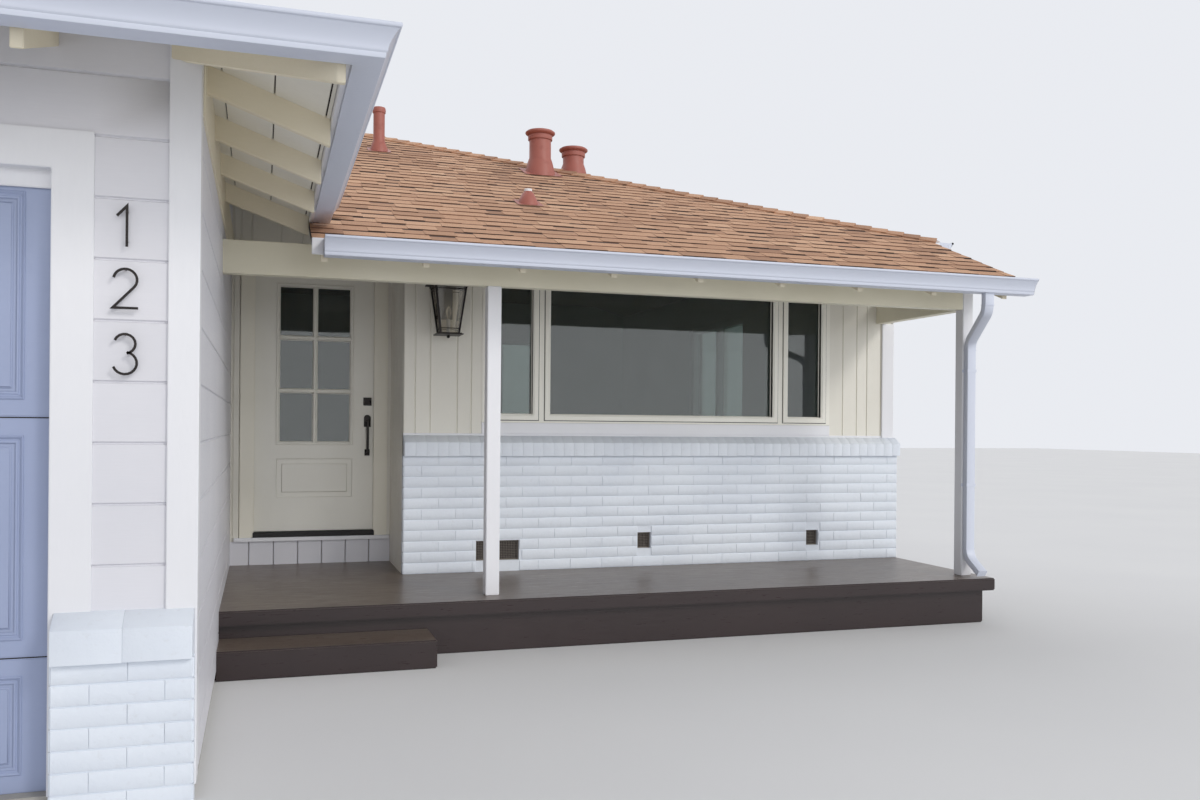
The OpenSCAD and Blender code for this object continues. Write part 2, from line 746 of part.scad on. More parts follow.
// The panel below the glazed field: stiles beside it, its underside, height, border and depth
stile_w = 169;
panel_low = 264;
panel_h = 300;
panel_edge = 40;
panel_d = 12;

module front_door() placed() color(cream) difference() {
    block(leaf_x, leaf_right, 0, leaf_t, leaf_low, leaf_high);
    pane_w = (lite_w - muntin_w) / 2;
    pane_h = (lite_h - 2 * muntin_w) / 3;
    for (i = [0, 1], j = [0, 1, 2])
        block(lite_x + i * (pane_w + muntin_w), lite_x + i * (pane_w + muntin_w) + pane_w,
            -1, leaf_t + 1, lite_z + j * (pane_h + muntin_w),
            lite_z + j * (pane_h + muntin_w) + pane_h);
    panel_z = leaf_low + panel_low;
    for (y = [-1, leaf_t - panel_d]) difference() {
        block(leaf_x + stile_w, leaf_right - stile_w, y, y + panel_d + 1, panel_z, panel_z + panel_h);
        block(leaf_x + stile_w + panel_edge, leaf_right - stile_w - panel_edge, y, y + panel_d + 1,
            panel_z + panel_edge, panel_z + panel_h - panel_edge);
    }
}

module door_glass() placed() color(pane) {
    pane_w = (lite_w - muntin_w) / 2;
    pane_h = (lite_h - 2 * muntin_w) / 3;
    for (i = [0, 1], j = [0, 1, 2])
        block(lite_x + i * (pane_w + muntin_w), lite_x + i * (pane_w + muntin_w) + pane_w,
            leaf_t / 2 - 3, leaf_t / 2 + 3, lite_z + j * (pane_h + muntin_w),
            lite_z + j * (pane_h + muntin_w) + pane_h);
}

// Handleset: a latch plate with a rounded head, a flat grip that runs down from it to a small foot
// plate, a deadbolt on a square plate, and inside a knob and a turn
lock_set = 52;
lock_x = leaf_right - lock_set;
latch_z = leaf_low + 889;
bolt_z = leaf_low + 1022;
latch_w = 54;
latch_drop = 70;
grip_w = 20;
grip_t = 12;
grip_out = 54;
grip_len = 260;
foot_w = 40;
foot_h = 50;
bolt_plate = 64;
plate_t = 9;
knob_r = 27;

module turned(y, z, h, r) translate([lock_x, y, z]) rotate([90, 0, 0]) cylinder(h = h, r = r);

module door_handle() placed() color(metal_dark) {
    grip_high = latch_z - 20;
    grip_low = grip_high - grip_len;
    block(lock_x - latch_w / 2, lock_x + latch_w / 2, -plate_t, 0, latch_z - latch_drop, latch_z);
    turned(0, latch_z, plate_t, latch_w / 2);
    block(lock_x - grip_w / 2, lock_x + grip_w / 2, -grip_out, -grip_out + grip_t, grip_low, grip_high);
    for (z = [grip_low, grip_high - grip_t])
        block(lock_x - grip_w / 2, lock_x + grip_w / 2, -grip_out, 0, z, z + grip_t);
    block(lock_x - foot_w / 2, lock_x + foot_w / 2, -plate_t, 0,
        grip_low + grip_t / 2 - foot_h / 2, grip_low + grip_t / 2 + foot_h / 2);
    block(lock_x - bolt_plate / 2, lock_x + bolt_plate / 2, -plate_t, 0,
        bolt_z - bolt_plate / 2, bolt_z + bolt_plate / 2);
    turned(0, bolt_z, 2 * plate_t, bolt_plate / 4);
    turned(leaf_t + 60, latch_z, 28, knob_r);
    turned(leaf_t + 35, latch_z, 35, knob_r / 2);
    turned(leaf_t + plate_t, bolt_z, plate_t, knob_r);
}

// Panes of the triple window, as left edge and width
picture_w = window_w - 2 * sash_w - 2 * mullion_w - 2 * side_pane_w;
window_panes = [[window_x + sash_w, side_pane_w],
    [window_x + sash_w + side_pane_w + mullion_w, picture_w],
    [window_x + window_w - sash_w - side_pane_w, side_pane_w]];
pane_low = window_low + 63;
pane_high = window_high - 63;

module window_frame() placed() color(white) difference() {
    block(window_x, window_x + window_w, front_y - 15, front_y + wall_t - 30,
        window_low, window_high);
    for (p = window_panes)
        block(p[0], p[0] + p[1], front_y - 16, front_y + wall_t, pane_low, pane_high);
}

module window_glass() placed() color(pane) for (p = window_panes)
    block(p[0], p[0] + p[1], front_y + 30, front_y + 40, pane_low, pane_high);

// A frame or its glass, centred on the origin and standing in a wall that runs along x
module other_frame_piece() difference() {
    block(-other_w / 2, other_w / 2, -15, wall_t - 30, other_low, other_high);
    for (s = [-1, 1])
        translate([s * (other_w / 4 - other_frame / 4), 0, 0])
            block(-other_w / 4 + other_frame * 0.75, other_w / 4 - other_frame * 0.75,
                -16, wall_t, other_low + other_frame, other_high - other_frame);
}

module other_glass_piece() for (s = [-1, 1])
    translate([s * (other_w / 4 - other_frame / 4), 0, 0])
        block(-other_w / 4 + other_frame * 0.75, other_w / 4 - other_frame * 0.75,
            30, 40, other_low + other_frame, other_high - other_frame);

module in_other_walls() {
    translate([main_len, right_window_y, 0]) rotate(90) children();
    translate([garage_left, left_window_y, 0]) rotate(-90) children();
    for (x = back_window_x) translate([x, back_reach, 0]) rotate(180) children();
}

module other_frames() placed() color(white) in_other_walls() other_frame_piece();

module other_glass() placed() color(pane) in_other_walls() other_glass_piece();

// Sectional garage door with tall raised panels. Its top edge is hidden by the stop.
garage_leaf_h = garage_open_h - garage_stop_h / 2;
garage_joints = [garage_floor_h, 555, 1437, garage_leaf_h];
garage_bays = 6;
garage_stile = 100;
garage_rail = 80;
raised_set = 30;

module garage_bay(k, b, set, y0, y1) {
    bay = (garage_open_right - garage_open_left - 2 * garage_stile) / garage_bays;
    x = garage_open_left + garage_stile + b * bay;
    block(x + set, x + bay - set, y0, y1, garage_joints[k] + garage_rail - raised_set + set,
        garage_joints[k + 1] - garage_rail + raised_set - set);
}

module garage_door() placed() color([0.75, 0.8, 0.88]) {
    y0 = garage_front + garage_door_set;
    difference() {
        block(garage_open_left, garage_open_right, y0, y0 + garage_door_t, garage_floor_h,
            garage_leaf_h);
        for (k = [1, 2]) block(garage_open_left - 1, garage_open_right + 1, y0 - 1, y0 + 6,
            garage_joints[k] - 4, garage_joints[k] + 4);
        for (k = [0, 1, 2], b = [0 : garage_bays - 1]) garage_bay(k, b, raised_set, y0 - 1, y0 + 8);
    }
    for (k = [0, 1, 2], b = [0 : garage_bays - 1]) garage_bay(k, b, 2 * raised_set, y0 + 2, y0 + 9);
}

// Casing round the garage opening: a head over two sides that stand on the brick caps, then jambs
// in the opening and a stop in front of the door
garage_jamb = 20;

module garage_door_frame() placed() color(white) {
    y0 = garage_front - casing_t;
    y1 = garage_front + garage_door_set;
    head = garage_open_h + garage_casing;
    block(garage_open_left - garage_casing, garage_open_right + garage_casing, y0, garage_front,
        garage_open_h, head);
    for (x = [garage_open_left - garage_casing, garage_open_right])
        block(x, x + garage_casing, y0, garage_front, garage_cap_top, garage_open_h);
    for (x = [garage_open_left, garage_open_right - garage_jamb])
        block(x, x + garage_jamb, y0, y1, garage_floor_h, garage_open_h);
    block(garage_open_left + garage_jamb, garage_open_right - garage_jamb, y0, y1,
        garage_open_h - garage_jamb, garage_open_h);
    block(garage_open_left + garage_jamb, garage_open_right - garage_jamb, y1 - garage_jamb, y1,
        garage_open_h - garage_jamb - garage_stop_h, garage_open_h - garage_jamb);
}

// Wall lantern: a tapered cage between a wide top plate and a small foot plate, hung from an arm
// on the wall
lantern_x = 1522;
lantern_low = 2088;
lantern_h = 355;
lantern_plate = 300;
lantern_foot = 190;
lantern_top_w = 236;
lantern_low_w = 144;
lantern_bar = 14;
lantern_y = front_y - 40 - lantern_plate / 2;

module lantern_post(sx, sy, w, z) translate([sx * (w - lantern_bar) / 2, sy * (w - lantern_bar) / 2, z])
    cube([lantern_bar, lantern_bar, 1], center = true);

module lantern() placed() color(metal_dark) translate([lantern_x, lantern_y, 0]) {
    wall_y = front_y - lantern_y;
    high = lantern_low + lantern_h;
    block(-60, 60, wall_y - 20, wall_y, lantern_low + 120, high + 60);
    block(-15, 15, 0, wall_y - 20, high + 15, high + 35);
    translate([0, 0, high]) linear_extrude(20) square(lantern_plate, center = true);
    translate([0, 0, lantern_low - 10]) linear_extrude(12) square(lantern_foot, center = true);
    for (sx = [-1, 1], sy = [-1, 1]) hull() {
        lantern_post(sx, sy, lantern_low_w, lantern_low);
        lantern_post(sx, sy, lantern_top_w, high);
    }
    translate([0, 0, lantern_low]) cylinder(h = 120, r = 22);
}

// A tapered block inside the cage's bars, set in from them
module cage_fill(h, set) {
    low_w = lantern_low_w - 2 * lantern_bar - 2 * set;
    top_w = lantern_top_w - 2 * lantern_bar - 2 * set;
    linear_extrude(h, scale = top_w / low_w) square(low_w, center = true);
}

module lantern_glass() placed() color(pane) translate([lantern_x, lantern_y, lantern_low + 2])
    difference() {
        cage_fill(lantern_h - 2, 0);
        translate([0, 0, -1]) cage_fill(lantern_h, 4);
    }

// Flues and pipe vents, each as x, y, radius, height over the roof
tall_flue = [2590, 560];
short_flue = [2980, 830];
cone_vent = [2130, -870];
pipe_vent = [1215, 1020];

function roof_top(at) = min(front_slope(at[1]), hip_h + end_pitch * (main_right_x - at[0]));

module flue(at, r, h) {
    translate([at[0], at[1], roof_top(at) - roof_t]) {
        cylinder(h = h + roof_t, r = r);
        cylinder(h = roof_t + 110, r1 = r * 1.35, r2 = r);
        translate([0, 0, h + roof_t - 20]) cylinder(h = 40, r = r * 1.12);
        translate([0, 0, h + roof_t + 15]) cylinder(h = 45, r1 = r * 1.3, r2 = r * 1.1);
    }
}

module pipe(at, r, h) {
    translate([at[0], at[1], roof_top(at) - roof_t]) {
        cylinder(h = h + roof_t, r = r);
        cylinder(h = roof_t + 75, r1 = 85, r2 = r);
    }
}

// Each vent is trimmed to the slope on which it stands
module roof_vents() placed() color(vent_red) difference() {
    union() {
        flue(tall_flue, flue_r, tall_flue_h);
        flue(short_flue, flue_r, short_flue_h);
        pipe(cone_vent, pipe_r * 0.6, 110);
        pipe(pipe_vent, pipe_r, 385);
    }
    under_main(0, low);
}

// Corner boards: a broad board on each front or back face and a thin one round the corner. At the
// garage's front the broad boards stand on the brick caps.
corner_w = 100;
corner_t = 22;
corner_leg = 12;

module corner_trim() placed() color(white) {
    cap_top = brick_h + cap_h + cap_rise;
    intersection() {
        union() {
            for (x = [garage_left, -corner_w])
                block(x, x + corner_w, garage_front - corner_t, garage_front, garage_cap_top, ridge_h);
            for (x = [garage_left - corner_leg, 0])
                block(x, x + corner_leg, garage_front - corner_t, garage_front + corner_w,
                    garage_floor_h, ridge_h);
            block(main_len - corner_w, main_len, front_y - corner_t, front_y, cap_top, beam_low);
            block(main_len, main_len + corner_leg, front_y - corner_t, front_y + corner_w,
                cap_top, ridge_h);
            for (x = [garage_left, main_len - corner_w])
                block(x, x + corner_w, back_reach, back_reach + corner_t, foundation_h, ridge_h);
            for (x = [garage_left - corner_leg, main_len])
                block(x, x + corner_leg, back_reach - corner_w, back_reach + corner_t,
                    foundation_h, ridge_h);
        }
        under_roofs();
    }
}

foundation();
main_floor();
garage_slab();
front_wall();
entry_return_wall();
door_wall_left();
door_wall_right();
door_wall_head();
right_wall();
back_wall();
left_wall();
garage_side_wall();
garage_left_wall();
garage_front_wall();
brick_wainscot();
brick_cap();
garage_wainscot();
roof_front();
roof_back();
roof_ends();
garage_roof_front();
garage_roof_right();
garage_roof_left();
porch_rafters();
garage_rafters();
fascia();
porch_gutter();
garage_gutter();
back_gutters();
downspout();
porch_beam();
end_beam();
posts();
porch_deck();
entry_step();
door_frame();
door_hinges();
door_sill();
front_door();
hinge_leaves();
door_glass();
door_handle();
window_frame();
window_glass();
other_frames();
other_glass();
garage_door();
garage_door_frame();
lantern();
lantern_glass();
roof_vents();
corner_trim();
crawl_vents();
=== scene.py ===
"""Dresses the bungalow: boards, bricks, shingles, gutters, trim and finishes around its fixed frame."""
import json
import math
import random

import bmesh
import bpy
from mathutils import Euler, Matrix, Vector


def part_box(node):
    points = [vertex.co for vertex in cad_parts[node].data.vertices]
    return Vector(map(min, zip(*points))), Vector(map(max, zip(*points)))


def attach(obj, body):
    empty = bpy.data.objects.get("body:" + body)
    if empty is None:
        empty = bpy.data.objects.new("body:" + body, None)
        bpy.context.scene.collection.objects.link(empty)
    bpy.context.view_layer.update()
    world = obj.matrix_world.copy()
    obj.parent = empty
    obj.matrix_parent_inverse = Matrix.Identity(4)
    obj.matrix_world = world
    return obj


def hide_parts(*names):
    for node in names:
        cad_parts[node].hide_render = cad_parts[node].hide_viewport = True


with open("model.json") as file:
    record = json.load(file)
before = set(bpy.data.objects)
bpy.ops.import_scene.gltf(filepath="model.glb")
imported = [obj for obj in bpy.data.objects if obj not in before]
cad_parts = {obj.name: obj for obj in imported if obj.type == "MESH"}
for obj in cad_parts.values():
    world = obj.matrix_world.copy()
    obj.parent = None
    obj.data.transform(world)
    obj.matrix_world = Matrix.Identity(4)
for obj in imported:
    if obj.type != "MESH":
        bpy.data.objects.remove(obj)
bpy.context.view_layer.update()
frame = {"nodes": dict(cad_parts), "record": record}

# House axes: x = 0 on the garage's side wall, y = 0 on the front door's face, z = 0 on the ground
ORIGIN = Vector((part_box("garage_side_wall")[1].x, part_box("front_door")[0].y, 0))
X, Y, Z = Vector((1, 0, 0)), Vector((0, 1, 0)), Vector((0, 0, 1))


def box(node):
    """Lowest and highest corner of a node in house axes."""
    low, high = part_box(node)
    return low - ORIGIN, high - ORIGIN


def points_of(node):
    """A node's mesh points in house axes."""
    return [v.co - ORIGIN for v in frame["nodes"][node].data.vertices]


def solids_of(node):
    """The box of each solid of a node, as (low, high) in house axes, from left to right."""
    bm = bmesh.new()
    bm.from_mesh(frame["nodes"][node].data)
    bmesh.ops.remove_doubles(bm, verts=bm.verts, dist=0.0001)
    left, found = set(bm.verts), []
    while left:
        stack, group = [left.pop()], []
        while stack:
            v = stack.pop()
            group.append(v.co - ORIGIN)
            linked = {e.other_vert(v) for e in v.link_edges} & left
            left -= linked
            stack += linked
        found.append((Vector(map(min, zip(*group))), Vector(map(max, zip(*group)))))
    bm.free()
    return sorted(found, key=lambda corners: tuple(corners[0]))


# Finishes

def rgb(r, g, b):
    """Linear colour from the usual 0 to 255 values."""
    def linear(c):
        c /= 255
        return c / 12.92 if c <= 0.04045 else ((c + 0.055) / 1.055) ** 2.4
    return linear(r), linear(g), linear(b), 1


class Finish:
    """A procedural material that is built node by node."""

    def __init__(self, name, rough, metal=0.0):
        self.material = bpy.data.materials.new(name)
        self.material.use_nodes = True
        self.tree = self.material.node_tree
        self.shader = self.tree.nodes["Principled BSDF"]
        self.shader.inputs["Metallic"].default_value = metal
        self.shader.inputs["Roughness"].default_value = rough
        self.place = self.node("ShaderNodeTexCoord").outputs["Object"]
        self.bumps = None

    def node(self, kind, **sockets):
        made = self.tree.nodes.new(kind)
        for key, value in sockets.items():
            self.feed(made.inputs[key.replace("_", " ")], value)
        return made

    def feed(self, socket, value):
        if isinstance(value, bpy.types.NodeSocket):
            self.tree.links.new(value, socket)
        else:
            socket.default_value = value

    def noise(self, scale, stretch=(1, 1, 1), detail=3.0, rough=0.5):
        mapping = self.node("ShaderNodeMapping", Vector=self.place, Scale=stretch)
        return self.node("ShaderNodeTexNoise", Vector=mapping.outputs[0], Scale=scale,
                         Detail=detail, Roughness=rough).outputs["Fac"]

    def between(self, value, low, high, to_low, to_high):
        return self.node("ShaderNodeMapRange", Value=value, From_Min=low, From_Max=high,
                         To_Min=to_low, To_Max=to_high).outputs[0]

    def mix(self, factor, first, second):
        made = self.tree.nodes.new("ShaderNodeMix")
        made.data_type = "RGBA"
        for index, value in ((0, factor), (6, first), (7, second)):
            self.feed(made.inputs[index], value)
        return made.outputs[2]

    def ramp(self, value, stops):
        made = self.node("ShaderNodeValToRGB", Fac=value)
        elements = made.color_ramp.elements
        while len(elements) < len(stops):
            elements.new(0.5)
        for element, (at, colour) in zip(elements, stops):
            element.position, element.color = at, colour
        return made.outputs[0]

    def tone(self, low, high):
        """A value that follows how far a board, brick or shingle is from the average."""
        made = self.tree.nodes.new("ShaderNodeAttribute")
        made.attribute_name = "tone"
        return self.between(made.outputs["Fac"], -0.5, 0.5, low, high)

    def shade(self, colour, value):
        """Scales a colour's brightness by a value."""
        return self.node("ShaderNodeHueSaturation", Color=colour, Value=value).outputs[0]

    def bump(self, height, strength, distance):
        made = self.node("ShaderNodeBump", Height=height, Strength=strength, Distance=distance)
        if self.bumps is not None:
            self.feed(made.inputs["Normal"], self.bumps)
        self.bumps = made.outputs[0]

    def done(self, colour, rough=None):
        self.feed(self.shader.inputs["Base Color"], colour)
        if rough is not None:
            self.feed(self.shader.inputs["Roughness"], rough)
        if self.bumps is not None:
            self.feed(self.shader.inputs["Normal"], self.bumps)
        return self.material


def paint(name, colour, stain, rough, grain, relief, tones=0.06):
    """Brushed paint: broad stains, a fine grain along the boards, and a tone for each board."""
    f = Finish(name, rough)
    colour, stain = rgb(*colour), rgb(*stain)
    broad = f.between(f.noise(1.3, detail=4), 0.35, 0.75, 0, 0.55)
    fine = f.noise(55, grain, 4, 0.6)
    base = f.shade(f.mix(broad, colour, stain), f.tone(1 - tones, 1 + tones))
    base = f.mix(f.between(fine, 0.3, 0.75, 0, 0.12), base, stain)
    f.bump(fine, relief, 0.002)
    f.bump(f.noise(420, detail=2), relief * 0.5, 0.0006)
    return f.done(base, f.between(fine, 0.3, 0.7, rough - 0.06, rough + 0.08))


def shingle_finish(name):
    """Mineral granules: each tab has its own tan, with dark bands and scattered grains; the darkest tones also
    carry the painted shade on the butts.
    """
    f = Finish(name, 0.9)
    # The dark stops colour the printed bands and the painted shade on and under the butts
    ramp = f.ramp(f.tone(0, 1), [
        (0.0, rgb(46, 33, 27)), (0.2, rgb(66, 46, 37)), (0.45, rgb(150, 112, 88)),
        (0.7, rgb(196, 153, 123)), (1.0, rgb(220, 180, 148))])
    grains = f.noise(650, detail=2, rough=0.7)
    speckle = f.noise(160, detail=3, rough=0.7)
    base = f.shade(ramp, f.between(grains, 0.3, 0.7, 0.78, 1.18))
    base = f.mix(f.between(speckle, 0.52, 0.7, 0, 0.35), base, rgb(110, 80, 66))
    weather = f.between(f.noise(0.9, detail=3), 0.35, 0.7, 0, 0.35)
    base = f.mix(weather, base, f.shade(base, 0.84))
    f.bump(grains, 0.5, 0.002)
    f.bump(f.noise(40, detail=3), 0.25, 0.004)
    return f.done(base)


def brick_finish(name):
    """Thick white paint over fired clay, with soft pits that are a little darker grey where the lumps are low.
    """
    f = Finish(name, 0.5)
    lumps = f.noise(30, detail=5, rough=0.6)
    broad = f.between(f.noise(2.2, detail=4), 0.4, 0.75, 0, 0.6)
    base = f.mix(broad, rgb(226, 232, 240), rgb(212, 219, 230))
    base = f.mix(f.between(lumps, 0.2, 0.4, 0.3, 0), base, rgb(196, 196, 198))
    base = f.shade(base, f.tone(0.993, 1.005))
    f.bump(lumps, 0.45, 0.005)
    f.bump(f.noise(230, detail=3), 0.3, 0.0012)
    return f.done(base, f.between(lumps, 0.3, 0.7, 0.6, 0.46))


def deck_finish(name):
    """Dark stain on boards: dusty grey-brown tops, partly painted light, and upright faces nearly black with
    painted shade.
    """
    f = Finish(name, 0.35)
    grain = f.noise(26, (0.3, 4, 4), 4, 0.6)
    worn = f.noise(1.7, detail=4)
    geometry = f.tree.nodes.new("ShaderNodeNewGeometry")
    upward = f.node("ShaderNodeSeparateXYZ", Vector=geometry.outputs["Normal"]).outputs[2]
    # Painted light: the colour follows the normal, lighter on the tops and nearly black painted shade on the
    # upright faces
    top = f.mix(f.between(worn, 0.35, 0.7, 0, 0.7), rgb(112, 98, 87), rgb(92, 78, 69))
    face = f.mix(f.between(worn, 0.35, 0.7, 0, 0.6), rgb(50, 38, 38), rgb(40, 30, 31))
    base = f.mix(f.between(upward, 0.4, 0.8, 0, 1), face, top)
    base = f.mix(f.between(grain, 0.35, 0.7, 0, 0.25), base, rgb(38, 29, 28))
    f.bump(grain, 0.22, 0.0015)
    return f.done(base, f.between(grain, 0.3, 0.7, 0.26, 0.4))


def glass_finish(name, tint):
    """Clear glass with a slow waviness and a trace of dust."""
    f = Finish(name, 0.02)
    f.shader.inputs["Transmission Weight"].default_value = 0.92
    f.shader.inputs["IOR"].default_value = 1.48
    f.bump(f.noise(1.6, detail=1), 0.06, 0.01)
    dust = f.between(f.noise(6, detail=5), 0.45, 0.8, 0, 0.12)
    return f.done(f.mix(dust, rgb(*tint), rgb(200, 205, 205)), f.between(dust, 0, 0.12, 0.015, 0.05))


def metal_finish(name, colour, worn, rough, metal=1.0, scale=90):
    """Sprayed or brushed metal: fine orange peel and lighter wear in patches."""
    f = Finish(name, rough, metal)
    wear = f.between(f.noise(scale * 0.2, detail=5, rough=0.65), 0.55, 0.75, 0, 0.5)
    f.bump(f.noise(scale * 6, detail=2), 0.08, 0.0006)
    return f.done(f.mix(wear, rgb(*colour), rgb(*worn)), f.between(wear, 0, 0.5, rough, rough + 0.12))


# Paint takes its colour, stain, roughness, stretch of the grain, relief, and range of tones
FINISHES = {
    "white_siding": paint("siding_white", (222, 221, 226), (206, 207, 214), 0.42, (0.25, 0.25, 3), 0.2, 0.03),
    "cream_paint": paint("wall_cream", (230, 227, 217), (216, 212, 200), 0.45, (3, 3, 0.25), 0.18, 0.03),
    "beam_paint": paint("beam_cream", (232, 227, 207), (212, 206, 182), 0.5, (0.3, 3, 3), 0.2),
    "white_trim": paint("trim_white", (232, 232, 235), (220, 221, 226), 0.38, (2, 2, 0.3), 0.12, 0.02),
    "painted_brick": brick_finish("brick_painted"),
    "roof_shingle": shingle_finish("shingle_brown"),
    # The enamel's grey-blue tint is partly painted shade
    "white_metal": paint("gutter_enamel", (206, 211, 224), (202, 207, 221), 0.42, (1, 1, 1), 0.005, 0.01),
    "dark_deck": deck_finish("deck_brown"),
    "frame_paint": paint("frame_cream", (242, 238, 224), (230, 225, 208), 0.42, (3, 3, 0.2), 0.12, 0.02),
    "rafter_paint": paint("rafter_cream", (236, 227, 204), (214, 203, 176), 0.55, (0.3, 2, 2), 0.3),
    "sash_paint": paint("sash_cream", (240, 238, 229), (228, 225, 213), 0.38, (2, 2, 0.3), 0.12, 0.02),
    "wire": metal_finish("wire_grey", (120, 112, 104), (90, 82, 76), 0.5, 0.6),
    "door_paint": paint("door_stone", (238, 236, 227), (228, 225, 213), 0.4, (3, 3, 0.2), 0.1, 0.02),
    # The garage door's grey-blue is darker and bluer than its paint: partly painted shade
    "garage_panel": paint("panel_blue", (158, 169, 198), (146, 157, 188), 0.4, (0.4, 2, 2), 0.1, 0.02),
    "clear_glass": glass_finish("glass_clear", (150, 162, 158)),
    "bulb_glass": glass_finish("glass_bulb", (250, 246, 236)),
    "dark_metal": metal_finish("bronze_dark", (38, 34, 33), (70, 62, 58), 0.42, 0.7),
    "hinge_steel": metal_finish("steel_brushed", (178, 178, 176), (140, 140, 138), 0.35),
    "vent_paint": metal_finish("vent_red", (158, 92, 80), (128, 68, 60), 0.5, 0.0, 60),
    "concrete": paint("concrete_grey", (176, 173, 167), (140, 137, 131), 0.85, (1, 1, 1), 0.6, 0.05),
    "floor_wood": paint("floor_oak", (158, 118, 78), (112, 78, 48), 0.4, (0.2, 4, 4), 0.3, 0.1),
    "sheathing": paint("sheathing_white", (232, 229, 218), (204, 198, 182), 0.6, (0.3, 2, 2), 0.45, 0.08),
    "roof_felt": paint("felt_dark", (44, 36, 32), (30, 26, 24), 0.9, (1, 1, 1), 0.4, 0.05),
    "dark_rubber": paint("rubber_dark", (40, 39, 40), (26, 25, 26), 0.7, (1, 1, 1), 0.1, 0.02),
}
SLOT_OF = {part["node"]: part["material_slot"] for part in frame["record"]["subparts"]}
DOOR_NODES = frame["record"]["behaviour"]["bodies"]["door"]


def coat(mesh, finish):
    """Gives a mesh one finish."""
    mesh.materials.clear()
    mesh.materials.append(FINISHES[finish])


# Mesh building

# Faces over this size, in square metres, stay flat beside eased edges
LARGE_FACE = 0.002


def settle(mesh, angle, bevel=0.0):
    """Joins shared corners, eases the sharp edges if asked, and shades the small faces smooth."""
    bm = bmesh.new()
    bm.from_mesh(mesh)
    bmesh.ops.remove_doubles(bm, verts=bm.verts, dist=0.00002)
    if bevel:
        bmesh.ops.dissolve_limit(bm, angle_limit=0.002, verts=bm.verts, edges=bm.edges)
        sharp = [e for e in bm.edges if e.is_manifold and e.calc_face_angle(0) > 0.5]
        bmesh.ops.bevel(bm, geom=sharp, offset=bevel, segments=2, affect="EDGES", clamp_overlap=True)
    bm.to_mesh(mesh)
    bm.free()
    mesh.set_sharp_from_angle(angle=math.radians(angle))
    if bevel:
        mesh.polygons.foreach_set("use_smooth", [part.area < LARGE_FACE for part in mesh.polygons])


def place(name, mesh, finish, body, nodes):
    """Makes a piece of a mesh that rides on a body and stands for its nodes."""
    piece = bpy.data.objects.new(name, mesh)
    bpy.context.scene.collection.objects.link(piece)
    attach(piece, body)
    if nodes:
        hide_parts(*nodes)


def eased(node, bevel, finish=None):
    """A copy of a node's own shape with eased edges, in its place, with its slot's finish or another."""
    mesh = frame["nodes"][node].data.copy()
    finish = finish or SLOT_OF[node]
    coat(mesh, finish)
    mesh.polygons.foreach_set("material_index", [0] * len(mesh.polygons))
    settle(mesh, 35, bevel)
    place(node + "_eased", mesh, finish, "door" if node in DOOR_NODES else "house", [node])


class Piece:
    """Collects faces in house axes and becomes one object."""

    def __init__(self, name):
        self.name = name
        self.points, self.faces, self.tones = [], [], []

    def add(self, points, tone=0.0):
        start = len(self.points)
        self.points += [Vector(p) for p in points]
        self.faces.append(tuple(range(start, len(self.points))))
        self.tones.append(tone)

    def skin(self, loops, tone=0.0):
        """Faces from each closed loop of points to the next."""
        for first, second in zip(loops, loops[1:]):
            for k in range(len(first)):
                n = (k + 1) % len(first)
                self.add([first[k], first[n], second[n], second[k]], tone)

    def solid(self, loops):
        """A skin that is closed at both ends."""
        self.add(loops[0][::-1])
        self.add(loops[-1])
        self.skin(loops)

    def finish(self, finish, *nodes, body="house", angle=35):
        mesh = bpy.data.meshes.new(self.name)
        mesh.from_pydata([p + ORIGIN for p in self.points], [], self.faces)
        tones = mesh.attributes.new("tone", "FLOAT", "FACE")
        tones.data.foreach_set("value", self.tones)
        coat(mesh, finish)
        settle(mesh, angle)
        place(self.name, mesh, finish, body, nodes)


class Face:
    """A flat face with axes of its own: a along it, b up it, h out of it."""

    def __init__(self, origin, along, up):
        self.origin = Vector(origin)
        self.along, self.up = Vector(along).normalized(), Vector(up).normalized()
        self.out = self.along.cross(self.up)

    def at(self, a, b, h=0.0):
        return self.origin + self.along * a + self.up * b + self.out * h

    def ab(self, point):
        d = point - self.origin
        return d.dot(self.along), d.dot(self.up)

    def rect(self, a0, a1, b0, b1, h=0.0):
        return [self.at(a0, b0, h), self.at(a1, b0, h), self.at(a1, b1, h), self.at(a0, b1, h)]


def to_front(y):
    """An upright face that looks to the front."""
    return Face((0, y, 0), X, Z)


def to_back(y):
    return Face((0, y, 0), -X, Z)


def to_right(x):
    return Face((x, 0, 0), Y, Z)


def to_left(x):
    return Face((x, 0, 0), -Y, Z)


# Polygons that are cut by half spaces, each given as (normal, limit)
ON_PLANE, LEAST_AREA = 1e-7, 2e-6


def cut(shape, space):
    """The parts of a convex polygon inside and outside a half space."""
    normal, limit = space
    inside, outside = [], []
    for p, q in zip(shape, shape[1:] + shape[:1]):
        sp, sq = normal.dot(p) - limit, normal.dot(q) - limit
        if sp <= ON_PLANE:
            inside.append(p)
        if sp >= -ON_PLANE:
            outside.append(p)
        if min(sp, sq) < -ON_PLANE and max(sp, sq) > ON_PLANE:
            crossing = p.lerp(q, sp / (sp - sq))
            inside.append(crossing)
            outside.append(crossing)
    return solid_shape(inside), solid_shape(outside)


def solid_shape(shape):
    """The polygon, or None where it has hardly any area."""
    area = Vector()
    for p, q in zip(shape[1:], shape[2:]):
        area += (p - shape[0]).cross(q - shape[0])
    return shape if area.length > LEAST_AREA else None


def keep(shapes, solid):
    """What lies inside a convex solid, given as half spaces."""
    for space in solid:
        shapes = [part for part in (cut(s, space)[0] for s in shapes) if part]
    return shapes


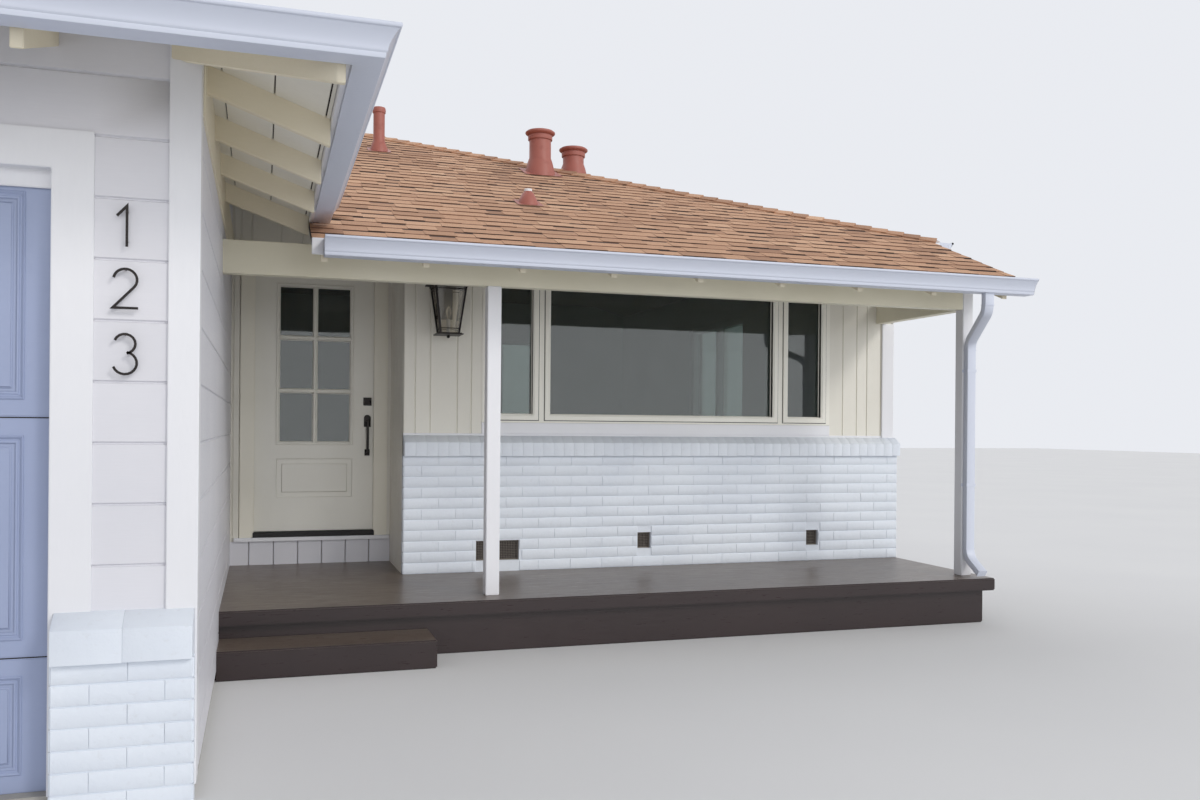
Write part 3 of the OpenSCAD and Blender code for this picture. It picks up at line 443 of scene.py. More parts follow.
def drop(shapes, *solids):
    """What lies outside convex solids."""
    for solid in solids:
        left = []
        for shape in shapes:
            if not keep([shape], solid):
                left.append(shape)
                continue
            for space in solid:
                shape, out = cut(shape, space)
                if out:
                    left.append(out)
                if not shape:
                    break
        shapes = left
    return shapes


def within(shapes, *solids):
    """What lies inside any of the solids, without overlaps."""
    found = []
    for solid in solids:
        found += keep(shapes, solid)
        shapes = drop(shapes, solid)
    return found


def block(x0, x1, y0, y1, z0=-9, z1=9):
    """A box as a convex solid."""
    return [(X, x1), (-X, -x0), (Y, y1), (-Y, -y0), (Z, z1), (-Z, -z0)]


# Shapes that are added to a piece

def mm(*points):
    """An outline that is given in millimetres."""
    return [(a / 1000, b / 1000) for a, b in points]


def relief(piece, face, shapes, height, tone=0.0):
    """Polygons that lie in a face, each corner raised as height(a, b) says."""
    for shape in shapes:
        piece.add([p + face.out * height(*face.ab(p)) for p in shape], tone)


def ring(piece, face, span, steps):
    """A moulded frame: nested rectangles from the outside in, each inset and raised as its step says."""
    a0, a1, b0, b1 = span
    rings = [face.rect(a0 + i, a1 - i, b0 + i, b1 - i, h) for i, h in steps]
    piece.skin(rings)
    return rings[-1]


def panel(piece, face, span, steps):
    """A moulded frame with its field."""
    piece.add(ring(piece, face, span, steps))


def mitres(path):
    """For each point of a flat path, the step to its right that shifts the path by one metre."""
    sides = []
    for (a, b), (c, d) in zip(path, path[1:]):
        length = math.hypot(c - a, d - b)
        sides.append(((d - b) / length, (a - c) / length))
    steps = []
    for (na, nb), (ma, mb) in zip(sides[:1] + sides, sides + sides[-1:]):
        scale = 1 / (1 + na * ma + nb * mb)
        steps.append(((na + ma) * scale, (nb + mb) * scale))
    return steps


def sweep(piece, face, path, profile):
    """Carries a closed outline of (across, out) points along a path in a face, with mitred corners."""
    rings = [[face.at(a + ca * u, b + cb * u, h) for u, h in profile]
             for (a, b), (ca, cb) in zip(path, mitres(path))]
    piece.solid(rings[::-1])


def lathe(piece, centre, profile, sides=24, axis=Z):
    """Turns an outline of (radius, height) points about an axis through the centre."""
    turn = Z.rotation_difference(axis).to_matrix()
    angles = [2 * math.pi * k / sides for k in range(sides)]
    piece.skin([[Vector(centre) + turn @ Vector((r * math.cos(t), r * math.sin(t), h)) for t in angles]
                for r, h in profile])


def bar(piece, low, high):
    """A plain rectangular member between two corners."""
    (x0, y0, z0), (x1, y1, z1) = low, high
    corners = ((x0, y0), (x1, y0), (x1, y1), (x0, y1))
    piece.solid([[Vector((x, y, z)) for x, y in corners] for z in (z0, z1)])


# Roof spaces, read from the frame
ROOF_T = 0.05
front_low, front_high = box("roof_front")
back_low, back_high = box("roof_back")
LEFT_X, RIGHT_X = front_low.x, front_high.x
PORCH_Y, RIDGE_Y, BACK_Y = front_low.y, front_high.y, back_high.y
HIP_Y = box("roof_ends")[0].y
PORCH_H, HIP_H, RIDGE_H = front_low.z + ROOF_T, back_low.z + ROOF_T, front_high.z
ridge_points = [p.x for p in points_of("roof_back") if p.z > RIDGE_H - 0.001]
RIDGE_X0, RIDGE_X1 = min(ridge_points), max(ridge_points)
g_low, g_high = box("garage_roof_front")
G_LEFT, G_RIGHT, G_FRONT, G_HIP_Y = g_low.x, g_high.x, g_low.y, g_high.y
G_EAVE_H, G_RIDGE_H = g_low.z + ROOF_T, g_high.z
G_MID = (G_LEFT + G_RIGHT) / 2
MAIN_PITCH = (RIDGE_H - PORCH_H) / (RIDGE_Y - PORCH_Y)
G_PITCH = (G_RIDGE_H - G_EAVE_H) / (G_HIP_Y - G_FRONT)
PORCH_RIGHT = box("porch_gutter")[1].x
# How far the gutters stand off the eaves, and how far they hang below them
FASCIA_T = PORCH_Y - box("porch_gutter")[1].y
GUTTER_H = PORCH_H - box("porch_gutter")[0].z


def slope(x, y, z, inward, pitch):
    """The half space under a slope that starts at an eave point and rises inward."""
    normal = Z - inward * pitch
    return normal, normal.dot(Vector((x, y, z)))


def main_space(lowered=0.0, grown=0.0):
    """The main roof's front, back, right and left slopes and its eave lines."""
    z, rise = HIP_H - lowered, RIDGE_H - HIP_H
    return [slope(0, PORCH_Y, PORCH_H - lowered, Y, MAIN_PITCH),
            slope(0, BACK_Y, z, -Y, rise / (BACK_Y - RIDGE_Y)),
            slope(RIGHT_X, 0, z, -X, rise / (RIGHT_X - RIDGE_X1)),
            slope(LEFT_X, 0, z, X, rise / (RIDGE_X0 - LEFT_X))] + block(
                LEFT_X - grown, RIGHT_X + grown, PORCH_Y - grown, BACK_Y + grown)


def garage_space(lowered=0.0, grown=0.0):
    """The garage roof's front, right and left slopes and its eave lines."""
    z = G_EAVE_H - lowered
    return [slope(0, G_FRONT, z, Y, G_PITCH), slope(G_RIGHT, 0, z, -X, G_PITCH),
            slope(G_LEFT, 0, z, X, G_PITCH)] + block(
                G_LEFT - grown, G_RIGHT + grown, G_FRONT - grown, RIDGE_Y)


# Farther than any point of the house
FAR = 20


def roof_slope(solid, index, under=False):
    """A slope seen from outside or from under the roof, the half spaces round it, and its whole outline.

    On its face a runs along the eave and b up the slope."""
    normal, limit = solid[index]
    inward = Vector((-normal.x, -normal.y, 0))
    pitch = inward.length / normal.z
    inward.normalize()
    along = Z.cross(inward) if under else inward.cross(Z)
    face = Face((0, 0, limit / normal.z), along, inward + Z * pitch)
    others = solid[:index] + solid[index + 1:]
    return face, others, keep([face.rect(-FAR, FAR, -FAR, FAR)], others)


def extent(face, shapes):
    """Lowest and highest a, then lowest and highest b, of polygons in a face."""
    spots = [face.ab(p) for shape in shapes for p in shape]
    return [pick(spot[i] for spot in spots) for i in (0, 1) for pick in (min, max)]


# Roof covering: the height of a course, how far it runs on under the next, how far the shingles reach
# past the eaves, and the thickness and range of widths of the raised tabs and of the backer between them
COURSE = 0.135
LAP = 0.02
REACH = 0.012
TAB_T, TAB_W = 0.0065, (0.12, 0.34)
BACKER_T, BACKER_W = 0.0035, (0.1, 0.26)


def shingles(name, solid, index, keep_out):
    """Courses of laminated tabs over one slope: tan fields, printed dark dashes under the butts, and painted
    shade on the butts and in a thin strip under each butt.
    """
    rng = random.Random(name)
    piece = Piece(name)
    face, others, whole = roof_slope(solid, index)
    a0, a1, b0, b1 = extent(face, drop(whole, *keep_out))
    course = 0
    while b0 + course * COURSE < b1:
        low = b0 + course * COURSE
        high = low + COURSE + LAP
        a = a0 - rng.uniform(0, 0.3)
        raised = rng.random() < 0.5
        streak = rng.uniform(-0.04, 0.04)
        while a < a1:
            width = rng.uniform(*(TAB_W if raised else BACKER_W))
            thick = TAB_T if raised else BACKER_T
            tone = max(0, min(0.5, rng.gauss(0.22, 0.08) + streak))

            def lift(_, b):
                return 0.001 + thick * (high - b) / (high - low)

            def lay(b_low, b_high, shade):
                shapes = drop(keep([face.rect(a, a + width, b_low, b_high)], others), *keep_out)
                relief(piece, face, shapes, lift, shade)
                return shapes

            # Dashed backers get a printed dark band under the next butt; the others get a thin dark strip there
            # as painted shade
            dashed = not raised and rng.random() < 0.8
            band = low + COURSE - (rng.uniform(0.022, 0.034) if dashed else rng.uniform(0.004, 0.008))
            edges = lay(low, band, tone)
            lay(band, high, rng.uniform(-0.5, -0.36) if dashed else rng.uniform(-0.3, -0.1))
            # Butts and side edges take a dark tone: painted shade
            butt_painted_shade = rng.uniform(-0.4, -0.1) if raised else rng.uniform(-0.3, 0.0)
            for shape in edges:
                skirt(piece, face, shape, lift, low, butt_painted_shade)
            a += width
            raised = not raised
        course += 1
    piece.finish("roof_shingle", angle=20)


def skirt(piece, face, shape, lift, low, tone):
    """The butt and the side edges of a tab, down to the slope, in the tone given, which is painted shade."""
    for p, q in zip(shape, shape[1:] + shape[:1]):
        (pa, pb), (qa, qb) = face.ab(p), face.ab(q)
        level, at_butt = abs(pb - qb) < 1e-5, abs(pb - low) < 1e-4
        if at_butt or not level:
            piece.add([p, q, q + face.out * lift(qa, qb), p + face.out * lift(pa, pb)], tone)


def caps(piece, foot, head, first, second, rng):
    """Folded cap shingles along a hip or ridge, from its foot to its head."""
    run = head - foot
    length = run.length
    run.normalize()
    wings = []
    for normal, _ in (first, second):
        normal = normal.normalized()
        down = run.cross(normal)
        if down.z > 0:
            down.negate()
        wings.append((normal, down))
    crown = (wings[0][0] + wings[1][0]).normalized()
    butt_h, lapped_h, reach, edge = 0.026, 0.012, 0.13, 0.02
    s = 0.0
    while s < length:
        p0, p1 = foot + run * s, foot + run * min(s + COURSE + 0.04, length)
        tone = max(-0.3, min(0.5, rng.gauss(0.16, 0.12)))
        for normal, down in wings:
            ridge0, ridge1 = p0 + crown * butt_h, p1 + crown * lapped_h
            wing0 = p0 + down * reach + normal * butt_h * 0.7
            wing1 = p1 + down * reach + normal * lapped_h * 0.9
            quads = [[ridge0, wing0, wing1, ridge1],
                     [p0 - normal * 0.01, wing0 - normal * edge, wing0, ridge0],
                     [wing0 - normal * edge, wing1 - normal * edge, wing1, wing0]]
            for quad, out in zip(quads, (normal, -run, down)):
                area = (quad[1] - quad[0]).cross(quad[2] - quad[0])
                piece.add(quad if area.dot(out) > 0 else quad[::-1], tone)
        s += COURSE


def roof_covering():
    main, garage = main_space(grown=REACH), garage_space(grown=REACH)
    notch = block(PORCH_RIGHT + 0.03, RIGHT_X + 1, PORCH_Y - 1, HIP_Y - 0.03)
    open_end = block(G_LEFT - 1, LEFT_X, HIP_Y, RIDGE_Y)
    for index, name in enumerate(("front", "back", "right", "left")):
        shingles("shingles_main_" + name, main, index, [garage_space(), notch])
    for index, name in enumerate(("front", "right", "left")):
        shingles("shingles_garage_" + name, garage, index, [main_space(), open_end])
    rng = random.Random("caps")
    piece = Piece("hip_and_ridge_caps")
    front, back, right, left = main[:4]
    g_front, g_right, g_left = garage[:3]
    ridge0, ridge1 = (RIDGE_X0, RIDGE_Y, RIDGE_H), (RIDGE_X1, RIDGE_Y, RIDGE_H)
    apex = (G_MID, G_HIP_Y, G_RIDGE_H)
    meets = (G_MID, PORCH_Y + (G_RIDGE_H - PORCH_H) / MAIN_PITCH, G_RIDGE_H)
    for foot, head, first, second in (
            ((RIGHT_X, HIP_Y, HIP_H), ridge1, front, right),
            ((RIGHT_X, BACK_Y, HIP_H), ridge1, back, right),
            ((LEFT_X, HIP_Y, HIP_H), ridge0, front, left),
            ((LEFT_X, BACK_Y, HIP_H), ridge0, back, left),
            (ridge0, ridge1, front, back),
            ((G_RIGHT, G_FRONT, G_EAVE_H), apex, g_front, g_right),
            ((G_LEFT, G_FRONT, G_EAVE_H), apex, g_front, g_left),
            (apex, meets, g_right, g_left)):
        caps(piece, Vector(foot), Vector(head), first, second, rng)
    piece.finish("roof_shingle", angle=20)


# Walls and trim, read from the frame
UNDER_ROOF = [main_space(ROOF_T), garage_space(ROOF_T)]
FRONT = box("garage_front_wall")[0].y
HOUSE_LEFT = box("garage_left_wall")[0].x
FRONT_Y, MAIN_LEN = box("front_wall")[0].y, box("front_wall")[1].x
BACK_WALL_Y = box("back_wall")[1].y
ENTRY_Y, ENTRY_W = box("door_wall_left")[0].y, box("entry_return_wall")[0].x
FOUNDATION_H = box("foundation")[1].z
door_frame = box("door_frame")
window = box("window_frame")
brick = box("brick_wainscot")
cap = box("brick_cap")
deck_low, deck_high = box("porch_deck")
# The siding's reveal and one of its joints, and a height above all walls
SIDING, SIDING_START, ABOVE = 0.2265, 0.892, 3.6


def even(start, pitch, first, last):
    """Joints at a regular pitch that cover a stretch."""
    joints = [start - pitch * math.ceil((start - first) / pitch)]
    while joints[-1] < last:
        joints.append(joints[-1] + pitch)
    return joints


def boards(piece, face, span, joints, holes=(), upright=False):
    """Boards with V joints over a rectangle, kept under the roofs and clear of the holes."""
    rng = random.Random(piece.name + str(round(joints[0], 3)))
    depth, bevel, gap = 0.008, 0.005, 0.0015
    a0, a1, b0, b1 = span
    first, last = (a0, a1) if upright else (b0, b1)
    heights = [0.0, depth, depth, 0.0]
    for s, e in zip(joints, joints[1:]):
        tone = rng.uniform(-0.5, 0.5)
        edges = [s + gap, s + gap + bevel, e - gap - bevel, e - gap]
        for k in range(3):
            lo, hi = max(edges[k], first), min(edges[k + 1], last)
            if hi <= lo:
                continue
            rect = face.rect(lo, hi, b0, b1) if upright else face.rect(a0, a1, lo, hi)

            def lift(a, b):
                t = ((a if upright else b) - edges[k]) / (edges[k + 1] - edges[k])
                return heights[k] + (heights[k + 1] - heights[k]) * max(0, min(1, t))

            relief(piece, face, drop(within([rect], *UNDER_ROOF), *holes), lift, tone)


def around(low, high, aside, deep):
    """The box of a node as a solid that cuts boards away, grown aside and in depth."""
    return block(low.x - aside, high.x + aside, low.y - deep, high.y + deep, low.z - aside, high.z + aside)


def wall_boards():
    white = Piece("siding_boards")
    floor, deck_h = box("garage_side_wall")[0].z, deck_high.z
    courses = even(SIDING_START, SIDING, floor, ABOVE)
    casing_low, casing_high = box("garage_door_frame")
    garage_hole = block(casing_low.x, casing_high.x, -9, 9, -1, casing_high.z)
    windows = [around(low, high, 0.05, 0.05) for low, high in solids_of("other_frames")]
    foundation = block(-9, 0, ENTRY_Y, 9, 0, FOUNDATION_H)
    side = to_right(0)
    corner_board = 0.122
    side_y0 = box("corner_trim")[0].y + corner_board
    for face, span, holes in (
            (to_front(FRONT), (HOUSE_LEFT, 0, box("garage_wainscot")[1].z, ABOVE), [garage_hole]),
            (side, (side_y0, ENTRY_Y, deck_h, ABOVE), []),
            (side, (side_y0, deck_low.y, floor, deck_h), []),
            (to_left(HOUSE_LEFT), (-BACK_WALL_Y, -FRONT, floor, ABOVE), windows + [foundation]),
            (to_right(MAIN_LEN), (FRONT_Y, BACK_WALL_Y, FOUNDATION_H, ABOVE), windows),
            (to_back(BACK_WALL_Y), (-MAIN_LEN, -HOUSE_LEFT, FOUNDATION_H, ABOVE), windows)):
        boards(white, face, span, courses, holes)
    casing_foot, sill_t = door_frame[0].z, 0.03
    riser_joint, riser_pitch = 0.146, 0.1815
    boards(white, to_front(ENTRY_Y), (0, ENTRY_W, deck_h, casing_foot - sill_t),
           even(riser_joint, riser_pitch, 0, ENTRY_W), upright=True)
    white.finish("white_siding")

    # The joints beside the window and the door are measured; the widths carry on above the window
    cream = Piece("upright_boards")
    widths = (0.201, 0.106, 0.146, 0.098, 0.185)
    joints = [ENTRY_W, 1.31, 1.421, 1.622, 1.728, 1.835]
    while joints[-1] < window[1].x - 0.2:
        joints.append(joints[-1] + widths[len(joints) % 5])
    joints += [window[1].x - 0.008, 4.894, 5.028, 5.126, 5.263, MAIN_LEN]
    boards(cream, to_front(FRONT_Y), (ENTRY_W, MAIN_LEN, cap[1].z, ABOVE), joints,
           [around(*window, 0, 1)], upright=True)
    joints = [0, 0.023, 0.074, 0.154, 0.37, 0.53, 0.74, 0.91, 1.095, 1.181, ENTRY_W]
    boards(cream, to_front(ENTRY_Y), (0, ENTRY_W, casing_foot, ABOVE), joints,
           [around(*door_frame, 0, 1)], upright=True)
    boards(cream, to_left(ENTRY_W), (-ENTRY_Y, -FRONT_Y, deck_h, ABOVE),
           even(-ENTRY_Y, widths[-1], -ENTRY_Y, -FRONT_Y), upright=True)
    cream.finish("cream_paint")

    # The apron board under the triple window and the trim board that stands on the brick cap
    trim = Piece("window_apron")
    strip_top = cap[1].z + 0.02
    panel(trim, to_front(FRONT_Y), (window[0].x, window[1].x, strip_top, window[0].z - 0.001),
          mm((0, 0), (0, 14), (3, 17)))
    panel(trim, to_front(FRONT_Y), (ENTRY_W, MAIN_LEN - 0.1, cap[1].z, strip_top), mm((0, 0), (0, 9), (3, 12)))
    trim.finish("white_trim")

    # The frieze board between the garage's side siding and the rafters
    frieze = Piece("garage_frieze")
    frieze_foot, under_eave = 2.615, G_EAVE_H - ROOF_T + G_PITCH * G_RIGHT
    panel(frieze, side, (side_y0, ENTRY_Y, frieze_foot, under_eave), mm((0, 0), (0, 16), (2, 18)))
    frieze.finish("rafter_paint")


def bricks(piece, face, span, courses, holes=()):
    """Running bond of eased bricks under thick paint, cut round holes given as (a0, a1, b0, b1)."""
    rng = random.Random(piece.name)
    a0, a1, b0, b1 = span
    pitch = (b1 - b0) / courses
    length, joint, gap, depth, shortest = 0.254, 0.001, 0.005, 0.006, 0.02
    for course in range(courses):
        low = b0 + course * pitch + gap / 2
        high = low + pitch - gap
        a = a0 - (length / 2 if course % 2 else 0)
        while a < a1:
            spans = [(max(a, a0), min(a + length - joint, a1))]
            for h0, h1, l0, l1 in holes:
                if low < l1 and high > l0:
                    spans = [part for s, e in spans for part in ((s, min(e, h0)), (max(s, h1), e))]
            rise = depth + rng.uniform(-0.0008, 0.0008)
            wobble = rng.uniform(-0.001, 0.001)
            tone = rng.uniform(-0.5, 0.5)
            for s, e in spans:
                if e - s > shortest:
                    top = face.rect(s + 0.002, e - 0.002, low + 0.005 + wobble, high - 0.005 + wobble, rise)
                    piece.skin([face.rect(s, e, low, high, -0.003),
                                face.rect(s, e, low + 0.001, high - 0.001, rise * 0.7), top], tone)
                    piece.add(top, tone)
            a += length


def cap_bricks(piece, low, high, pitch):
    """Bricks across the top of a brick wall: upright nose, slope and ledge, with eased joints."""
    rng = random.Random(piece.name + "cap")
    slope_h, ledge, back = 0.05, 0.025, 0.03
    nose = [(low.y + back, low.z), (low.y, low.z), (low.y, high.z - slope_h),
            (high.y - ledge, high.z), (high.y, high.z)]
    outward = mitres(nose)
    count = max(1, round((high.x - low.x) / pitch))
    width = (high.x - low.x) / count
    gap, ease, sunk = 0.0004, 0.003, -0.002
    for k in range(count):
        tone = rng.uniform(-0.5, 0.5)
        droop, rise = rng.uniform(-0.0015, 0.001), rng.uniform(0.0035, 0.0048)
        first, last = low.x + k * width + gap, low.x + (k + 1) * width - gap
        rings = []
        for x, lift in ((first, sunk), (first, rise * 0.7), (first + ease, rise),
                        (last - ease, rise), (last, rise * 0.7), (last, sunk)):
            rings.append([Vector((x, y - cy * lift, z - cz * lift + (droop if z == low.z else 0)))
                          for (y, z), (cy, cz) in zip(nose, outward)])
        for r0, r1 in zip(rings, rings[1:]):
            for i in range(len(nose) - 1):
                piece.add([r1[i], r1[i + 1], r0[i + 1], r0[i]], tone)


def brickwork():
    piece = Piece("porch_bricks")
    spare = 0.004
    vents = [(low.x - spare, high.x + spare, low.z - spare, high.z + spare)
             for low, high in solids_of("crawl_vents")]
    low, high = brick
    bricks(piece, to_front(low.y), (low.x, high.x, deck_high.z, high.z), 11, vents)
    bricks(piece, to_right(high.x), (low.y, high.y, 0.0, high.z), 15)
    bricks(piece, to_left(low.x), (-high.y, -low.y, deck_high.z, high.z), 11)
    piece.finish("painted_brick")
    piece = Piece("porch_brick_cap")
    cap_bricks(piece, *cap, 0.0802)
    piece.finish("painted_brick")
    piece = Piece("garage_bricks")
    cap_h, set_back = cap[1].z - brick[1].z + 0.025, 0.03
    for low, high in solids_of("garage_wainscot"):
        rise, y = high.z - cap_h, low.y + set_back
        bricks(piece, to_front(y), (low.x, high.x, 0.0, rise), 7)
        bricks(piece, to_right(high.x), (y, FRONT, 0.0, rise), 7)
        bricks(piece, to_left(low.x), (-FRONT, -y, 0.0, rise), 7)
        cap_bricks(piece, Vector((low.x, low.y, rise)), high, 0.238)
    piece.finish("painted_brick")


def wires(first, last):
    """The middles of a screen's wires between two ends."""
    count = round((last - first) / 0.0125)
    return [first + (last - first) * k / count for k in range(1, count)]


def vent_grilles():
    """A rim and a wire screen in each crawl space vent."""
    piece = Piece("vent_screens")
    r = 0.001
    for low, high in solids_of("crawl_vents"):
        ring(piece, to_front(low.y), (low.x, high.x, low.z, high.z), mm((0, 0), (0, 5), (7, 5), (7, 0)))
        for x in wires(low.x, high.x):
            bar(piece, (x - r, low.y - 3 * r, low.z), (x + r, low.y - r, high.z))
        for z in wires(low.z, high.z):
            bar(piece, (low.x, low.y - 3.5 * r, z - r), (high.x, low.y - 1.5 * r, z + r))
    piece.finish("wire")


# Eaves: sheathing planks, gutters and the boards at the garage roof's ends

def sheathing():
    """Planks under the eaves with open dark seams, on all slopes where they can be seen."""
    piece = Piece("eave_sheathing")
    main, garage = UNDER_ROOF
    notch = block(PORCH_RIGHT, RIGHT_X + 1, PORCH_Y - 1, HIP_Y)
    porch = [block(0, RIGHT_X, PORCH_Y, FRONT_Y), block(0, ENTRY_W, FRONT_Y, ENTRY_Y)]
    pitch, seam, first, depth = 0.2167, 0.007, 0.018, 0.008
    for solid, index, regions, out in (
            (main, 0, porch, [garage, notch]),
            (main, 1, [block(LEFT_X, RIGHT_X, BACK_WALL_Y, BACK_Y)], []),
            (main, 2, [block(MAIN_LEN, RIGHT_X, HIP_Y, BACK_Y)], []),
            (main, 3, [block(LEFT_X, HOUSE_LEFT, HIP_Y, BACK_Y)], []),
            (garage, 1, [block(0, G_RIGHT, G_FRONT, HIP_Y)], [main]),
            (garage, 0, [block(G_LEFT, G_RIGHT, G_FRONT, FRONT)], []),
            (garage, 2, [block(G_LEFT, HOUSE_LEFT, G_FRONT, HIP_Y)], [main])):
        face, others, whole = roof_slope(solid, index, under=True)
        _, _, b0, b1 = extent(face, whole)
        rng = random.Random(index)
        b = b0 + first + seam / 2 - pitch
        while b < b1:
            tone = rng.uniform(-0.5, 0.5)
            plank = keep([face.rect(-FAR, FAR, b, b + pitch - seam)], others)
            for shape in drop(within(plank, *regions), *out):
                lowered = [p + face.out * depth for p in shape]
                piece.add(lowered, tone)
                piece.skin([shape, lowered], tone)
            b += pitch
    piece.finish("sheathing")


def gutter_front():
    """The outer line of a gutter as (out, up): flat bottom, upright lip, coved face and round bead."""
    foot = [(0, 0), (94, 0), (99, 2), (100.5, 6), (101.5, 19), (106, 24)]
    cove = [(107 + 31 * (k / 8) ** 1.7, 26 + 62 * k / 8) for k in range(9)]
    return mm(*foot, *cove, *arc((140.5, 101.5), 9.5, -90, 180, 9))


def arc(centre, radius, start, end, steps=14):
    """Points on an arc, its angles in degrees."""
    angles = [math.radians(start + (end - start) * k / steps) for k in range(steps + 1)]
    return [(centre[0] + radius * math.cos(t), centre[1] + radius * math.sin(t)) for t in angles]


def gutter(name, path, z, *nodes):
    """A gutter of thin sheet along a path at the eave, with closed ends and straps across its top."""
    piece = Piece(name)
    front, back_edge = gutter_front(), (0.0, 0.106)
    inner = mm((136, 94), (100, 28), (94, 4), (3, 4), (3, 106))
    sheet, strap_pitch, strap_w, strap_l, strap_drop = 0.002, 0.61, 0.012, 0.14, 0.012
    sweep(piece, Face((0, 0, z), X, Y), path, front[1:] + inner + [back_edge, front[0]])
    for (a, b), (c, d), turn in ((path[0], path[1], 1), (path[-1], path[-2], -1)):
        inward = Vector((c - a, d - b, 0)).normalized()
        outward = Vector((inward.y, -inward.x, 0)) * turn
        outside = [Vector((a, b, z)) + outward * u + Z * v for u, v in front + [back_edge]]
        inside = [p + inward * sheet for p in outside]
        piece.add(outside)
        piece.add(inside[::-1])
        piece.skin([outside, inside])
    for (a, b), (c, d) in zip(path, path[1:]):
        run = Vector((c - a, d - b, 0))
        along, outward = run.normalized() * strap_w, Vector((run.y, -run.x, 0)).normalized() * strap_l
        count = max(1, round(run.length / strap_pitch))
        for k in range(count):
            centre = Vector((a, b, z + GUTTER_H - strap_drop)) + run * (k + 0.5) / count
            strap = [centre - along, centre + along, centre + along + outward, centre - along + outward]
            piece.add([p + Z * sheet for p in strap])
            piece.add(strap[::-1])
    piece.finish("white_metal", *nodes)


def board(name, *outlines):
    """A trim board between two outlines."""
    piece = Piece(name)
    piece.solid(outlines)
    piece.finish("white_trim")


def gutters():
    eave = PORCH_Y - FASCIA_T
    gutter("porch_gutter_run", [(box("porch_gutter")[0].x, eave), (PORCH_RIGHT, eave)], PORCH_H - GUTTER_H,
           "porch_gutter")
    left, right, y = G_LEFT - FASCIA_T, G_RIGHT + FASCIA_T, G_FRONT - FASCIA_T
    low, top = G_EAVE_H - GUTTER_H, G_EAVE_H
    gutter("garage_gutter_run", [(left, HIP_Y), (left, y), (right, y), (right, eave)], low, "garage_gutter")

    # The garage's right gutter and fascia run on until they meet the slope over the porch
    low_reach, top_reach = (PORCH_Y + (z - PORCH_H) / MAIN_PITCH for z in (low, top))
    gutter("garage_eave_gutter", [(right, eave), (right, low_reach - 0.04)], low)
    outline = [(eave, low), (low_reach, low), (top_reach, top), (eave, top)]
    board("garage_eave_fascia", *([Vector((x, y, z)) for y, z in outline] for x in (right - FASCIA_T, right)))

    # The board that closes the back end of the garage roof's left overhang
    rise = G_PITCH * (LEFT_X - G_LEFT)
    outline = [(G_LEFT, low), (LEFT_X, low + rise), (LEFT_X, top + rise), (G_LEFT, top)]
    board("garage_rake_board", *([Vector((x, y, z)) for x, z in outline] for y in (HIP_Y + FASCIA_T, HIP_Y)))

    left, right, y = LEFT_X - FASCIA_T, RIGHT_X + FASCIA_T, BACK_Y + FASCIA_T
    gutter("back_gutter_run", [(right, HIP_Y), (right, y), (left, y), (left, HIP_Y)], HIP_H - GUTTER_H,
           "back_gutters")


# Carried-over nodes: their slots' finishes, and eased copies of those with edges that show

EASED = (
    ("fascia", 0.003), ("posts", 0.004), ("porch_beam", 0.004, "beam_paint"), ("end_beam", 0.004, "beam_paint"),
    ("porch_deck", 0.008), ("entry_step", 0.008), ("porch_rafters", 0.003, "rafter_paint"),
    ("garage_rafters", 0.003, "rafter_paint"), ("corner_trim", 0.003), ("window_frame", 0.004, "sash_paint"),
    ("other_frames", 0.004), ("door_frame", 0.003, "frame_paint"), ("garage_door_frame", 0.003),
    ("door_sill", 0.003), ("front_door", 0.003), ("door_handle", 0.0015), ("garage_door", 0.003))


def carried_over():
    for row in EASED:
        eased(*row)
    for node, slot in SLOT_OF.items():
        coat(frame["nodes"][node].data, "roof_felt" if slot == "roof_shingle" else slot)
    coat(frame["nodes"]["lantern_glass"].data, "bulb_glass")


# Details of the door, the windows and the garage door

def door_details():
    """Beads round the panes and the moulding round the glass on both sides, and the threshold."""
    low, high = box("front_door")
    mould = Piece("door_mouldings")
    panes = [(p.x, q.x, p.z, q.z) for p, q in solids_of("door_glass")]
    margin = 0.024
    x0, _, z0, _ = map(min, zip(*panes))
    _, x1, _, z1 = map(max, zip(*panes))
    glass = (x0 - margin, x1 + margin, z0 - margin, z1 + margin)
    bead = mm((-11, 0), (-11, 3), (-7, 6), (-3, 6), (0, 2), (0, -12), (6, -16))
    rim = mm((0, 0), (0, 5), (5, 9), (12, 9), (17, 4), (22, 0))
    for (a0, a1, b0, b1), steps in [(pane, bead) for pane in panes] + [(glass, rim)]:
        ring(mould, to_front(low.y), (a0, a1, b0, b1), steps)
        ring(mould, to_back(high.y), (-a1, -a0, b0, b1), steps)
    mould.finish("door_paint", body="door")
    threshold = Piece("threshold")
    base, spare = door_frame[0].z, 0.002
    profile = mm((-64, 0), (-64, 14), (-55, 34), (-47, 40.5), (-4, 40.5), (-4, 0))
    threshold.solid([[Vector((x, y, base + z)) for y, z in profile] for x in (low.x - spare, high.x + spare)])
    threshold.finish("dark_rubber", angle=20)


def on_wall(low, high, proud=0.0):
    """The face of the wall that a window's solid is in, and the solid's span on it."""
    if high.x - low.x > high.y - low.y:
        return to_back(BACK_WALL_Y + proud), (-high.x, -low.x, low.z, high.z)
    if low.x > 0:
        return to_right(MAIN_LEN + proud), (low.y, high.y, low.z, high.z)
    return to_left(HOUSE_LEFT - proud), (-high.y, -low.y, low.z, high.z)


